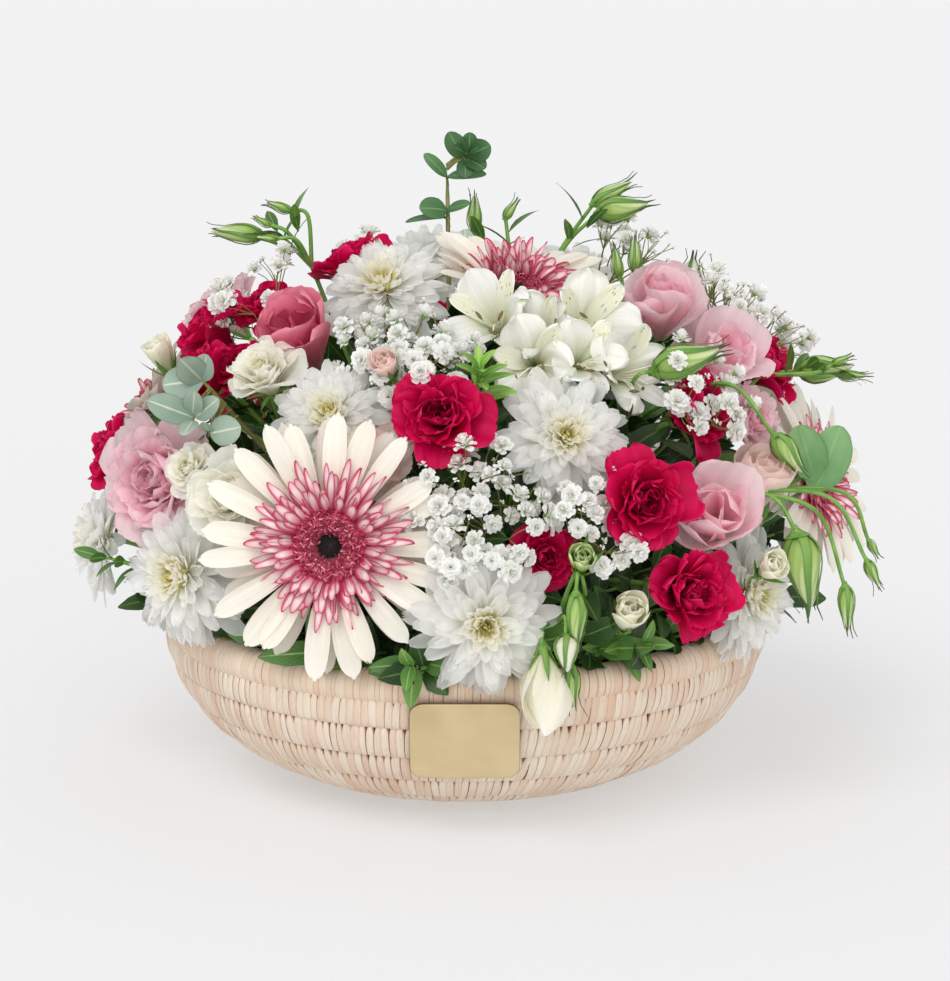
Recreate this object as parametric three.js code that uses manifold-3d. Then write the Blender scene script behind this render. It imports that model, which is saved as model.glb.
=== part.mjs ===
// A flower arrangement in a coiled straw basket, in millimetres, +Z up.
// The origin is the middle of the basket's flat underside, and the front faces -Y.
// Every stem points at one focus inside the floral foam, so no two stems cross.
import * as THREE from "three";
import { mergeVertices } from "three/addons/utils/BufferGeometryUtils.js";
import Module from "manifold-3d";

const wasm = await Module();
wasm.setup();

// Basket, liner and foam
const RIM_RADIUS = 123; // to the centre of the rim coil
const RIM_HEIGHT = 67;
const RIM_COIL = 7.3;
const BASE_RADIUS = 44; // to the centre of the lowest coil
const WALL_COIL = 6.3; // radius of one straw coil
const LOW_ANGLES = [14, 26]; // degrees up the wall, under the bowl, where the grooves are left out
const COIL_GROOVES = [34, 49.5, 63, 76, 86.5]; // degrees up the wall where two coils meet
const GROOVE_SHARE = 0.62; // of a coil's radius, where two coils meet
const ROUND_SEGMENTS = 24; // of the basket, the liner and the foam
const WALL_INSIDE = 5; // from a coil's centre to the smooth inside of the wall
const INSIDE_ANGLES = [0, 30, 60, 84]; // of the corners of the basket's inside, up its wall
const FIT_GAP = 0.35; // between pieces that touch
const LINER_THICKNESS = 0.8;
const FOAM_TOP = 118;
const FOAM_SHOULDER = [[101, 70], [92, 92], [62, 110]];
const PLAQUE = { width: 44.5, height: 38, thickness: 1.2, corner: 5.5, wallAngle: 73 };
const HOLE_GAP = 0.6; // from a stem's corner to its hole's corner
const HOLE_REACH = 80; // longer than any stem's way through the foam
// The space that the basket's wall and rim keep free of flowers: [radius, height]
const RIM_SPACE = [[0, -1], [48, -1], [92, 12], [121, 37], [132, 64], [132, 74], [123, 76], [114, 73],
  [109, 50], [90, 20], [0, 20]];

// Stems
const FOCUS = new THREE.Vector3(0, 0, 50); // where every stem points
const STEM_END = 46; // how far from the focus a stem stops, inside the foam
const STEM_SIDES = 3;
const FORK_SHARE = 0.74; // of the way from the focus to the heads
const HOLE_START = 2; // from a stem's end to the end of its hole
const BEND_STEPS = [6, 11, 17, 24]; // how far a stem bends aside to pass another piece
const BEND_WAYS = 8;

// Clearances
const CLEARANCE = 0.45; // left round a piece by whatever passes it
const WIDE_CLEARANCE = 0.65; // round thin stems and leaves
const KEEP_OUT_SIDES = 7;
const SMALLEST_EDGE = 0.12;
const TOUCH = 0.5; // cubic millimetres in taken space that still count as clear
const GOLDEN_ANGLE = 2.39996;

// How petals vary
const PETAL_REACH = 0.08; // how much shorter than its layer a petal can be
const PETAL_RISE = 0.7; // how far up or down its tip can sit
const PETAL_SWAY = 0.08; // how far aside its tip can sit, as a share of the pitch

// Blooms at their reference diameter. A layer lists [radius, height, share of the pitch] from its
// root ring to its tip, where a share of 0 is a pointed tip, and keepOut is the space it takes.
const KINDS = {
  gerbera: {
    diameter: 104, petals: 19, thickness: 1.4, stem: 2.8, bottom: -9, top: 5,
    layers: [
      [[11, -3], [35, 1, 0.84], [50.5, -2, 0.4]],
      [[11, 2], [31, 6.5, 0]],
    ],
    keepOut: [[0, -11], [36, -3.5], [51, -5], [51, 1], [34, 7], [0, 8]],
  },
  small_gerbera: {
    diameter: 90, petals: 13, thickness: 1.4, stem: 2.8, bottom: -9, top: 5,
    layers: [
      [[11, -3], [44, -1, 0.6]],
      [[11, 2], [29, 6.5, 0]],
    ],
    keepOut: [[0, -11], [44, -4], [44, 1], [30, 7], [0, 8]],
  },
  mum: {
    diameter: 58, petals: 8, thickness: 1.4, stem: 2, bottom: -11, top: 11,
    layers: [
      [[8, -6], [21, -3.5, 0.9], [29, -4, 0]],
      [[7.5, -1.5], [24, 4.5, 0]],
      [[5.5, 3], [15.5, 11, 0]],
    ],
    keepOut: [[0, -11.5], [29, -6], [29, -1], [15, 12], [0, 12]],
  },
  lisianthus: {
    diameter: 50, petals: 5, thickness: 1.5, stem: 2, bottom: -15, top: 8,
    layers: [
      [[6, -10], [25, 5, 0.84]],
      [[5, -5], [16.5, 10.5, 0.92]],
      [[3.5, 0], [7, 13, 0]],
    ],
    keepOut: [[0, -15.5], [24, -3], [25.5, 9], [16, 13], [0, 13]],
  },
  rose: {
    diameter: 40, petals: 5, thickness: 1.4, stem: 1.5, bottom: -12, top: 8,
    layers: [
      [[5, -8.5], [20, 2, 0.86]],
      [[4.6, -4], [12, 8.5, 0.9]],
      [[3.4, 1], [4.6, 10.5, 0]],
    ],
    keepOut: [[0, -12.5], [20.5, 0], [20.5, 3.5], [11, 10.5], [0, 10.5]],
  },
  alstroemeria: {
    diameter: 56, petals: 6, thickness: 1.2, stem: 1.8, bottom: -27, top: -16,
    layers: [
      [[4, -24], [18, -2, 0.86], [27, 6, 0]],
      [[3, -20], [13, 8, 0]],
    ],
    keepOut: [[0, -27.5], [19, -5], [27.5, 4], [27.5, 7], [0, 9]],
  },
};
const LISIANTHUS_BUD = [[0, 0], [4.2, 7], [3.1, 15], [0, 24]];
const ROSE_BUD = [[0, 0], [5.4, 4], [5.2, 12], [0, 15.5]];
const BUD_SIDES = 5;
const BUD_STEM = 1.1;
const NECK_IN_BUD = 0.12; // how far a stem goes into a bud, as a share of its length
const NECK_IN_BLOOM = 2.5; // how far a stem goes into a bloom

// Colours
const PALE_WHITE = 0xf6f5ee;
const BLUSH_CREAM = 0xf5e3da;
const PINK = 0xe78fa5;
const CRIMSON = 0xc3103f;
const GREEN = 0x4f8a3c;
const DARK_GREEN = 0x2f5a2a;
const GREY_GREEN = 0x86a698;
const STRAW = 0xe0cbb2;
const BRASS = 0xd9c08c;
const FOAM_GREEN = 0x22381f;
const LINER_GREEN = 0x10221a;

// Every stem of the arrangement. A head is [kind, centre, diameter or length, [azimuth, elevation]
// it faces, points that its own stem passes]. The heads of one plant meet at its fork.
const STEMS = {
  gerbera_front: { colour: BLUSH_CREAM, heads: [["gerbera", [-54, -124, 127], 106, [-99, 8]]] },
  gerbera_top: { colour: BLUSH_CREAM, heads: [["small_gerbera", [21, 2, 207], 86, [-96, 72]]] },
  gerbera_right: { colour: BLUSH_CREAM, heads: [["small_gerbera", [150, 8, 120], 84, [-20, 16]]] },
  gerbera_left: { colour: BLUSH_CREAM, heads: [["small_gerbera", [-136, 46, 146], 78, [160, 28]]] },
  gerbera_back: { colour: BLUSH_CREAM, heads: [["small_gerbera", [12, 134, 122], 88, [84, 20]]] },

  mum_front: { colour: PALE_WHITE, heads: [["mum", [8, -144, 100], 58, [-86, 4]]] },
  mum_middle: { colour: PALE_WHITE, heads: [["mum", [40, -107, 168], 54, [-78, 24]]] },
  mum_upper: { colour: PALE_WHITE, heads: [["mum", [-54, -92, 173], 52, [-108, 36]]] },
  mum_top: {
    colour: PALE_WHITE,
    heads: [
      ["mum", [-34, -16, 212], 56, [-110, 52]],
      ["mum", [-18, 68, 208], 52, [106, 50]],
    ],
  },
  mum_left: {
    colour: PALE_WHITE,
    heads: [
      ["mum", [-116, -88, 106], 62, [-128, 6]],
      ["mum", [-156, -20, 104], 50, [-174, 10]],
    ],
  },
  mum_right: { colour: PALE_WHITE, heads: [["mum", [117, -84, 97], 54, [-44, 2]]] },
  mum_back: {
    colour: PALE_WHITE,
    heads: [
      ["mum", [-112, 92, 104], 58, [141, 14]],
      ["mum", [-66, 100, 166], 56, [124, 42]],
    ],
  },
  mum_back_right: {
    colour: PALE_WHITE,
    heads: [
      ["mum", [104, 98, 106], 58, [44, 14]],
      ["mum", [50, 66, 201], 52, [55, 52]],
    ],
  },

  lisianthus_upper: { colour: PINK, heads: [["lisianthus", [-66, -34, 194], 50, [-120, 56]]] },
  lisianthus_left: { colour: PINK, heads: [["lisianthus", [-126, -52, 142], 56, [-124, 14]]] },
  lisianthus_high: {
    colour: PINK,
    heads: [
      ["lisianthus", [86, 5, 202], 50, [-76, 62]],
      ["lisianthus", [109, -20, 182], 46, [-46, 52]],
    ],
  },
  lisianthus_right: { colour: PINK, heads: [["lisianthus", [104, -88, 133], 54, [-90, 40]]] },
  lisianthus_back: {
    colour: PINK,
    heads: [
      ["lisianthus", [-58, 134, 104], 50, [112, 14]],
      ["lisianthus", [-104, 78, 180], 46, [148, 40]],
    ],
  },
  lisianthus_back_right: { colour: PINK, heads: [["lisianthus", [96, 72, 168], 52, [38, 36]]] },

  rose_middle: { colour: CRIMSON, heads: [["rose", [-10, -107, 176], 40, [-98, 30]]] },
  rose_right: {
    colour: CRIMSON,
    heads: [
      ["rose", [71, -118, 143], 42, [-70, 14]],
      ["rose", [90, -115, 105], 40, [-58, 4]],
      ["rose", [32, -114, 120], 30, [-74, 12]],
    ],
  },
  rose_top: { colour: CRIMSON, heads: [["rose", [-54, 20, 213], 34, [150, 56]]] },
  rose_left: {
    colour: CRIMSON,
    heads: [
      ["rose", [-108, 8, 187], 36, [-176, 42]],
      ["rose", [-110, -22, 174], 32, [-164, 34]],
      ["rose", [-152, 0, 136], 30, [-178, 24]],
    ],
  },
  rose_high: {
    colour: CRIMSON,
    heads: [
      ["rose", [94, -60, 168], 38, [-40, 30]],
      ["rose", [132, 20, 172], 32, [8, 36]],
    ],
  },
  rose_back: {
    colour: CRIMSON,
    heads: [
      ["rose", [-94, 118, 134], 38, [128, 26]],
      ["rose", [-26, 114, 172], 40, [103, 38]],
    ],
  },
  rose_back_right: {
    colour: CRIMSON,
    heads: [
      ["rose", [70, 126, 106], 36, [62, 18]],
      ["rose", [58, 102, 156], 38, [62, 34]],
    ],
  },

  white_rose_upper: {
    colour: PALE_WHITE,
    heads: [
      ["rose", [-82, -66, 186], 32, [-130, 34]],
      ["rose_bud", [-126, 4, 170], 17, [-150, 64]],
    ],
  },
  white_rose_left: {
    colour: PALE_WHITE,
    heads: [
      ["rose_bud", [-112, -78, 148], 20, [-120, 30]],
      ["rose", [-88, -96, 142], 36, [-118, 20]],
    ],
  },
  white_rose_low: {
    colour: PALE_WHITE,
    heads: [
      ["rose", [67, -124, 101], 22, [-74, 22]],
      ["rose_bud", [46, -134, 120], 15, [-84, 40], [[48, -122, 104]]],
    ],
  },
  white_rose_high: { colour: PALE_WHITE, heads: [["rose", [94, 44, 204], 30, [20, 60]]] },
  white_rose_right: {
    colour: PALE_WHITE,
    heads: [
      ["rose", [125, -56, 138], 30, [-60, 52]],
      ["rose_bud", [130, -86, 108], 16, [-56, 20]],
    ],
  },
  white_rose_middle: { colour: BLUSH_CREAM, heads: [["rose_bud", [-30, -92, 190], 16, [-106, 40]]] },
  white_rose_back: {
    colour: PALE_WHITE,
    heads: [
      ["rose", [14, 92, 192], 36, [82, 46]],
      ["rose", [134, 56, 148], 32, [24, 28]],
    ],
  },
  white_lisianthus: {
    colour: PALE_WHITE,
    heads: [
      ["lisianthus_bud", [31, -142, 90], 28, [-88, -80]],
      ["lisianthus_bud", [46, -140, 112], 24, [-88, -76]],
    ],
    fork: [36, -122, 94],
  },

  alstroemeria: {
    colour: PALE_WHITE,
    heads: [
      ["alstroemeria", [10, -49, 209], 51, [-114, 44]],
      ["alstroemeria", [48, -36, 208], 51, [-70, 46]],
      ["alstroemeria", [28, -78, 194], 50, [-90, 20]],
      ["alstroemeria", [66, -67, 187], 50, [-54, 22]],
    ],
  },

  lisianthus_buds_left: {
    colour: GREEN,
    heads: [
      ["lisianthus_bud", [-87, 26, 226], 22, [176, 4]],
      ["lisianthus_bud", [-75, 30, 236], 14, [164, 14]],
    ],
    fork: [-74, 28, 208],
  },
  lisianthus_buds_top: {
    colour: GREEN,
    heads: [
      ["lisianthus_bud", [58, 40, 236], 21, [0, 14]],
      ["lisianthus_bud", [53, 46, 239], 18, [6, 46]],
    ],
    fork: [46, 46, 216],
  },
  lisianthus_buds_right: {
    colour: GREEN,
    heads: [
      ["lisianthus_bud", [142, 6, 172], 22, [-6, 2]],
      ["lisianthus_bud", [156, -10, 176], 17, [-12, 4]],
    ],
    fork: [124, 0, 172],
  },
  lisianthus_buds_low: {
    colour: GREEN,
    heads: [
      ["lisianthus_bud", [136, -86, 127], 30, [-60, -68], [[127, -80, 152]]],
      ["lisianthus_bud", [154, -68, 112], 20, [-50, -78], [[142, -72, 142]]],
      ["lisianthus_bud", [160, -48, 120], 18, [-30, -58], [[144, -60, 146]]],
    ],
    fork: [118, -66, 152],
  },
};

// Sprays of small round florets, as clusters of [centre, floret count, spread]
const GYPSOPHILA = {
  gypsophila_upper: [[[-26, -72, 199], 5, 26], [[-92, 12, 204], 3, 22]],
  gypsophila_front: [[[4, -128, 142], 5, 26], [[56, -124, 140], 3, 16]],
  gypsophila_right: [[[98, -66, 182], 5, 20], [[118, 34, 190], 4, 24]],
  gypsophila_back: [[[20, 116, 178], 4, 24]],
  gypsophila_back_left: [[[-86, 100, 154], 4, 22], [[-36, 84, 208], 3, 20]],
};
const FLORET_RADIUS = 3.3;
const FLORET_TRIES = 6;
const GYPSOPHILA_STEM = { trunk: 1.5, branch: 1.1, stalk: 0.6 };
const GYPSOPHILA_FORK = 0.66; // of the way from the focus to the clusters
const BRANCH_END = 0.75; // how much of the way to its cluster's centre a branch goes

// Stems of leaves: the tip, how many leaves, their [length, width] and how far down the stem they go
const LEAFY = {
  eucalyptus_top: { colour: GREEN, tip: [-12, 48, 256], leaves: 7, size: [20, 15], along: 44 },
  eucalyptus_left: { colour: GREY_GREEN, tip: [-110, -56, 182], leaves: 7, size: [19, 17], along: 30 },
  eucalyptus_right: { colour: GREEN, tip: [152, -44, 142], leaves: 4, size: [28, 24], along: 16 },
  eucalyptus_back: { colour: GREY_GREEN, tip: [0, 122, 200], leaves: 5, size: [20, 17], along: 34 },
  greens_left: { colour: DARK_GREEN, tip: [-154, -44, 88], leaves: 5, size: [26, 10], along: 40 },
  greens_middle: { colour: GREEN, tip: [4, -102, 196], leaves: 6, size: [20, 7], along: 16 },
  greens_front: { colour: DARK_GREEN, tip: [-22, -146, 84], leaves: 6, size: [25, 10], along: 30 },
  greens_low: { colour: DARK_GREEN, tip: [76, -134, 84], leaves: 6, size: [25, 11], along: 38 },
  greens_back: { colour: DARK_GREEN, tip: [-24, 150, 90], leaves: 5, size: [28, 11], along: 40 },
  greens_back_right: { colour: DARK_GREEN, tip: [148, 74, 94], leaves: 5, size: [28, 11], along: 40 },
};
const LEAFY_STEM = 1.3;
const LEAF_THICKNESS = 1.3;
const LEAF_STATIONS = [[-0.04, 0, 0], [0.32, 0.95, 0.05], [0.68, 0.8, 0.01], [1, 0, -0.1]];
const LEAF_TRIES = 5;
const LEAF_OPEN = [0.75, 1.1]; // radians from the stem

const radians = THREE.MathUtils.degToRad;
const vector = (p) => new THREE.Vector3(...p);

// A repeatable stream of numbers from 0 to 1 (mulberry32)
function random(seed) {
  let state = seed >>> 0;
  return () => {
    state = (state + 0x6d2b79f5) >>> 0;
    let t = state;
    t = Math.imul(t ^ (t >>> 15), t | 1);
    t ^= t + Math.imul(t ^ (t >>> 7), t | 61);
    return ((t ^ (t >>> 14)) >>> 0) / 4294967296;
  };
}

function seedOf(name) {
  let sum = 7;
  for (const letter of name) sum = (sum * 31 + letter.charCodeAt(0)) % 1000003;
  return sum;
}

// Solids and booleans
function solidOf(geometry) {
  const open = geometry.index ? geometry.toNonIndexed() : geometry.clone();
  const bare = new THREE.BufferGeometry().setAttribute("position", open.getAttribute("position"));
  const merged = mergeVertices(bare, 1e-4);
  return new wasm.Manifold(
    new wasm.Mesh({
      numProp: 3,
      vertProperties: new Float32Array(merged.attributes.position.array),
      triVerts: new Uint32Array(merged.index.array),
    }),
  );
}

function geometryOf(solid) {
  const mesh = solid.getMesh();
  const places = new Float32Array(mesh.numVert * 3);
  for (let i = 0; i < mesh.numVert; i++) {
    places.set(mesh.vertProperties.subarray(i * mesh.numProp, i * mesh.numProp + 3), i * 3);
  }
  const geometry = new THREE.BufferGeometry();
  geometry.setAttribute("position", new THREE.BufferAttribute(places, 3));
  geometry.setIndex(new THREE.BufferAttribute(new Uint32Array(mesh.triVerts), 1));
  geometry.computeVertexNormals();
  return geometry;
}

function join(solids) {
  return solids.reduce((whole, piece) => whole.add(piece));
}

function largestBody(solid) {
  return solid.decompose().sort((a, b) => b.volume() - a.volume())[0];
}

function closedGeometry(points, faces) {
  const geometry = new THREE.BufferGeometry();
  geometry.setAttribute("position", new THREE.Float32BufferAttribute(points.flat(), 3));
  geometry.setIndex(faces.flat());
  return geometry;
}

// A lathe solid about Z from [radius, height] points that run up the outside and end on the axis
function lathe(profile, segments) {
  const points = profile.map(([r, z]) => new THREE.Vector2(r, z));
  return new THREE.LatheGeometry(points, segments).rotateX(Math.PI / 2);
}

// A closed tube with few sides through the given points
function tube(points, radius) {
  const sides = STEM_SIDES;
  const places = [];
  const faces = [];
  const last = points.length - 1;
  points.forEach((point, i) => {
    const before = points[Math.max(i - 1, 0)];
    const after = points[Math.min(i + 1, last)];
    const along = after.clone().sub(before).normalize();
    const side = Math.abs(along.z) < 0.9 ? new THREE.Vector3(0, 0, 1) : new THREE.Vector3(1, 0, 0);
    const u = side.cross(along).normalize();
    const v = along.clone().cross(u);
    for (let k = 0; k < sides; k++) {
      const angle = (2 * Math.PI * k) / sides;
      const place = point.clone().addScaledVector(u, radius * Math.cos(angle));
      places.push(place.addScaledVector(v, radius * Math.sin(angle)).toArray());
    }
  });
  for (let i = 0; i < last; i++) {
    for (let k = 0; k < sides; k++) {
      const a = i * sides + k;
      const b = i * sides + ((k + 1) % sides);
      faces.push([a, b, b + sides], [a, b + sides, a + sides]);
    }
  }
  for (let k = 1; k < sides - 1; k++) {
    faces.push([0, k + 1, k]);
    faces.push([last * sides, last * sides + k, last * sides + k + 1]);
  }
  return solidOf(closedGeometry(places, faces));
}

function direction([azimuth, elevation]) {
  const flat = Math.cos(radians(elevation));
  return new THREE.Vector3(
    flat * Math.cos(radians(azimuth)),
    flat * Math.sin(radians(azimuth)),
    Math.sin(radians(elevation)),
  );
}

// The matrix that puts a head's own +Z on the way that it faces
function placed(at, facing, spin, scale = 1) {
  const turn = new THREE.Quaternion().setFromUnitVectors(new THREE.Vector3(0, 0, 1), facing);
  turn.multiply(new THREE.Quaternion().setFromAxisAngle(new THREE.Vector3(0, 0, 1), spin));
  return new THREE.Matrix4().compose(at, turn, new THREE.Vector3(scale, scale, scale));
}

// The basket's wall follows a quarter ellipse. The point at an angle, set in from its centreline
function wallPoint(angle, inset) {
  const across = RIM_RADIUS - BASE_RADIUS;
  const up = RIM_HEIGHT - WALL_COIL;
  const [s, c] = [Math.sin(radians(angle)), Math.cos(radians(angle))];
  const length = Math.hypot(up * s, across * c);
  return [
    BASE_RADIUS + across * s - (inset * up * s) / length,
    RIM_HEIGHT - up * c + (inset * across * c) / length,
  ];
}

function basketSolid() {
  const outside = [[0, 0], [BASE_RADIUS, 0], ...LOW_ANGLES.map((angle) => wallPoint(angle, -WALL_COIL))];
  COIL_GROOVES.forEach((groove, i) => {
    outside.push(wallPoint(groove, -WALL_COIL * GROOVE_SHARE));
    const next = COIL_GROOVES[i + 1];
    const bulges = i === 0 ? [0.5] : [0.25, 0.75];
    if (!next) return;
    for (const share of bulges) outside.push(wallPoint(groove + (next - groove) * share, -WALL_COIL));
  });
  const rim = [-50, 0, 50, 110].map((angle) => [
    RIM_RADIUS + RIM_COIL * Math.cos(radians(angle)),
    RIM_HEIGHT + RIM_COIL * Math.sin(radians(angle)),
  ]);
  const inside = INSIDE_ANGLES.map((angle) => wallPoint(angle, WALL_INSIDE)).reverse();
  return solidOf(lathe([...outside, ...rim, ...inside, [0, inside.at(-1)[1]]], ROUND_SEGMENTS));
}

function linerSolid() {
  const outer = WALL_INSIDE + FIT_GAP;
  const under = INSIDE_ANGLES.map((angle) => wallPoint(angle, outer));
  const over = INSIDE_ANGLES.map((angle) => wallPoint(angle, outer + LINER_THICKNESS)).reverse();
  return solidOf(lathe([[0, under[0][1]], ...under, ...over, [0, over.at(-1)[1]]], ROUND_SEGMENTS));
}

function foamSolid() {
  const inset = WALL_INSIDE + LINER_THICKNESS + 2 * FIT_GAP;
  const sides = INSIDE_ANGLES.slice(0, 3).map((angle) => wallPoint(angle, inset));
  return solidOf(lathe([[0, sides[0][1]], ...sides, ...FOAM_SHOULDER, [0, FOAM_TOP]], ROUND_SEGMENTS / 2));
}

function plaqueSolid() {
  const { width, height, thickness, corner, wallAngle } = PLAQUE;
  const [x, y] = [width / 2, height / 2];
  const outline = new THREE.Shape();
  outline.moveTo(-x + corner, -y);
  outline.lineTo(x - corner, -y);
  outline.absarc(x - corner, -y + corner, corner, -Math.PI / 2, 0);
  outline.absarc(x - corner, y - corner, corner, 0, Math.PI / 2);
  outline.absarc(-x + corner, y - corner, corner, Math.PI / 2, Math.PI);
  outline.absarc(-x + corner, -y + corner, corner, Math.PI, 1.5 * Math.PI);
  const plate = new THREE.ExtrudeGeometry(outline, {
    depth: thickness, bevelEnabled: false, curveSegments: 3,
  });
  const [low, high] = [wallPoint(wallAngle - 8, 0), wallPoint(wallAngle + 8, 0)];
  const lean = Math.atan2(high[0] - low[0], high[1] - low[1]);
  const [radius, middle] = wallPoint(wallAngle, -WALL_COIL - FIT_GAP);
  plate.rotateX(Math.PI / 2 + lean);
  plate.translate(0, -radius, middle);
  return solidOf(plate);
}

// A bloom as one closed surface. Each layer of petals starts at a root ring, and the rings are
// bridged inwards from layer to layer, half a petal further round each time. A petal is three
// sided: flat on top with a keel below, and it ends in a point or a short straight edge.
function bloomSolid(kind, size, matrix, rand) {
  const { petals, layers, thickness, bottom, top, diameter } = KINDS[kind];
  const scale = size / diameter;
  const pitch = (2 * Math.PI) / petals;
  const points = [];
  const faces = [];
  const polar = (r, z, angle) => {
    points.push([r * Math.cos(angle), r * Math.sin(angle), z]);
    return points.length - 1;
  };
  const keel = thickness / scale;
  const bottomCentre = polar(0, bottom, 0);
  let inner = null;
  layers.forEach((stations, layer) => {
    const start = (layer / 2) * pitch;
    const ringAt = (drop) => Array.from({ length: petals }, (_, k) =>
      polar(stations[0][0], stations[0][1] - drop, start + (k - 0.5) * pitch));
    const over = ringAt(0);
    const under = ringAt(keel);
    under.forEach((here, k) => {
      const next = (k + 1) % petals;
      if (inner === null) faces.push([bottomCentre, under[next], here]);
      else faces.push([inner[k], inner[next], here], [inner[next], under[next], here]);
    });
    for (let k = 0; k < petals; k++) {
      const next = (k + 1) % petals;
      const reach = 1 - PETAL_REACH * rand();
      const rise = PETAL_RISE * (2 * rand() - 1);
      const sway = PETAL_SWAY * (2 * rand() - 1) * pitch;
      let [left, right] = [over[k], over[next]];
      let low = [under[k], under[next]];
      stations.slice(1).forEach(([r, z, share], j) => {
        const far = (j + 1) / (stations.length - 1);
        const angle = start + k * pitch + sway * far;
        const radius = r * (1 + (reach - 1) * far);
        const height = z + rise * far;
        if (share === 0) {
          const tip = polar(radius, height, angle);
          faces.push([left, tip, right], [right, tip, low.at(-1)], [low[0], tip, left]);
          if (low.length === 2) faces.push([low[0], low[1], tip]);
          return;
        }
        const newLeft = polar(radius, height, angle - (share * pitch) / 2);
        const newRight = polar(radius, height, angle + (share * pitch) / 2);
        const lean = Math.hypot(r - stations[j][0], z - stations[j][1]);
        const ridge = polar(
          radius * Math.cos((share * pitch) / 2) + (keel * (z - stations[j][1])) / lean,
          height - (keel * (r - stations[j][0])) / lean,
          angle,
        );
        faces.push([left, newLeft, newRight], [left, newRight, right]);
        faces.push([low[0], newLeft, left], [low[0], ridge, newLeft]);
        faces.push([right, newRight, low.at(-1)], [newRight, ridge, low.at(-1)]);
        if (low.length === 2) faces.push([low[0], low[1], ridge]);
        if (j === stations.length - 2) faces.push([newLeft, ridge, newRight]);
        [left, right, low] = [newLeft, newRight, [ridge]];
      });
    }
    inner = over;
  });
  const crown = polar(0, top, 0);
  inner.forEach((here, k) => faces.push([crown, here, inner[(k + 1) % petals]]));
  return solidOf(closedGeometry(points, faces).applyMatrix4(matrix));
}

function keepOutOf(kind, size, matrix) {
  const { keepOut, diameter } = KINDS[kind];
  const clear = CLEARANCE * (diameter / size);
  const middle = (keepOut[0][1] + keepOut.at(-1)[1]) / 2;
  const profile = keepOut.map(([r, z]) => [
    r > 0 ? (r + clear) / Math.cos(Math.PI / KEEP_OUT_SIDES) : 0,
    z + Math.sign(z - middle) * (clear + PETAL_RISE),
  ]);
  return solidOf(lathe(profile, KEEP_OUT_SIDES).applyMatrix4(matrix));
}

function budSolid(profile, length, matrix, grow = 0) {
  const scale = length / profile.at(-1)[1];
  const points = profile.map(([r, z], i) => {
    const end = i === 0 ? -grow : i === profile.length - 1 ? grow : 0;
    return [r > 0 ? r * scale + grow / Math.cos(Math.PI / BUD_SIDES) : 0, z * scale + end];
  });
  return solidOf(lathe(points, BUD_SIDES).applyMatrix4(matrix));
}

// One head, the point inside it where its stem ends, and the space it keeps
function buildHead([kind, at, size, facing, passes = []], rand) {
  const centre = vector(at);
  const looks = direction(facing);
  const route = passes.map(vector);
  const spin = rand() * 2 * Math.PI;
  if (kind.endsWith("_bud")) {
    const profile = kind === "rose_bud" ? ROSE_BUD : LISIANTHUS_BUD;
    const matrix = placed(centre, looks, spin);
    const neck = centre.clone().addScaledVector(looks, size * NECK_IN_BUD);
    const solid = budSolid(profile, size, matrix);
    return { solid, keepOut: budSolid(profile, size, matrix, CLEARANCE), neck, route, stem: BUD_STEM };
  }
  const { diameter, bottom, stem } = KINDS[kind];
  const scale = size / diameter;
  const matrix = placed(centre, looks, spin, scale);
  const neck = centre.clone().addScaledVector(looks, (bottom + NECK_IN_BLOOM) * scale);
  const solid = bloomSolid(kind, size, matrix, rand);
  return { solid, keepOut: keepOutOf(kind, size, matrix), neck, route, stem };
}

// The point on the line from the focus towards a place, at a distance from the focus
function towards(place, distance) {
  return place.clone().sub(FOCUS).normalize().multiplyScalar(distance).add(FOCUS);
}

function middleOf(places) {
  return places.reduce((sum, place) => sum.add(place), new THREE.Vector3()).divideScalar(places.length);
}

// A plain hole in the foam along a stem, from just past its end to the open
function holeFor(root, next, radius) {
  const along = next.clone().sub(root).normalize();
  const start = root.clone().addScaledVector(along, -HOLE_START);
  return tube([start, root.clone().addScaledVector(along, HOLE_REACH)], radius + HOLE_GAP);
}

// How much of a shape lies in space that is already taken
function blocked(shape) {
  return taken.intersect(shape).volume();
}

// The first candidate whose shape is clear, or the clearest of them
function clearest(candidates, shapeFor) {
  let best = { amount: Infinity };
  for (const candidate of candidates) {
    const amount = blocked(shapeFor(candidate));
    if (amount < best.amount) best = { candidate, amount };
    if (amount < TOUCH) break;
  }
  return best;
}

// A place, then places in widening circles round it, square to the line from the focus
function around(place) {
  const out = place.clone().sub(FOCUS).normalize();
  const u = new THREE.Vector3(0, 0, 1).cross(out).normalize();
  const v = out.clone().cross(u);
  const places = [place];
  for (const reach of BEND_STEPS) {
    for (let k = 0; k < BEND_WAYS; k++) {
      const angle = (2 * Math.PI * k) / BEND_WAYS;
      const side = u.clone().multiplyScalar(Math.cos(angle)).addScaledVector(v, Math.sin(angle));
      places.push(place.clone().addScaledVector(side, reach));
    }
  }
  return places;
}

function tubesOf(runs, grow) {
  return runs.map(({ points, radius }) => tube(points, radius + grow));
}

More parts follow.
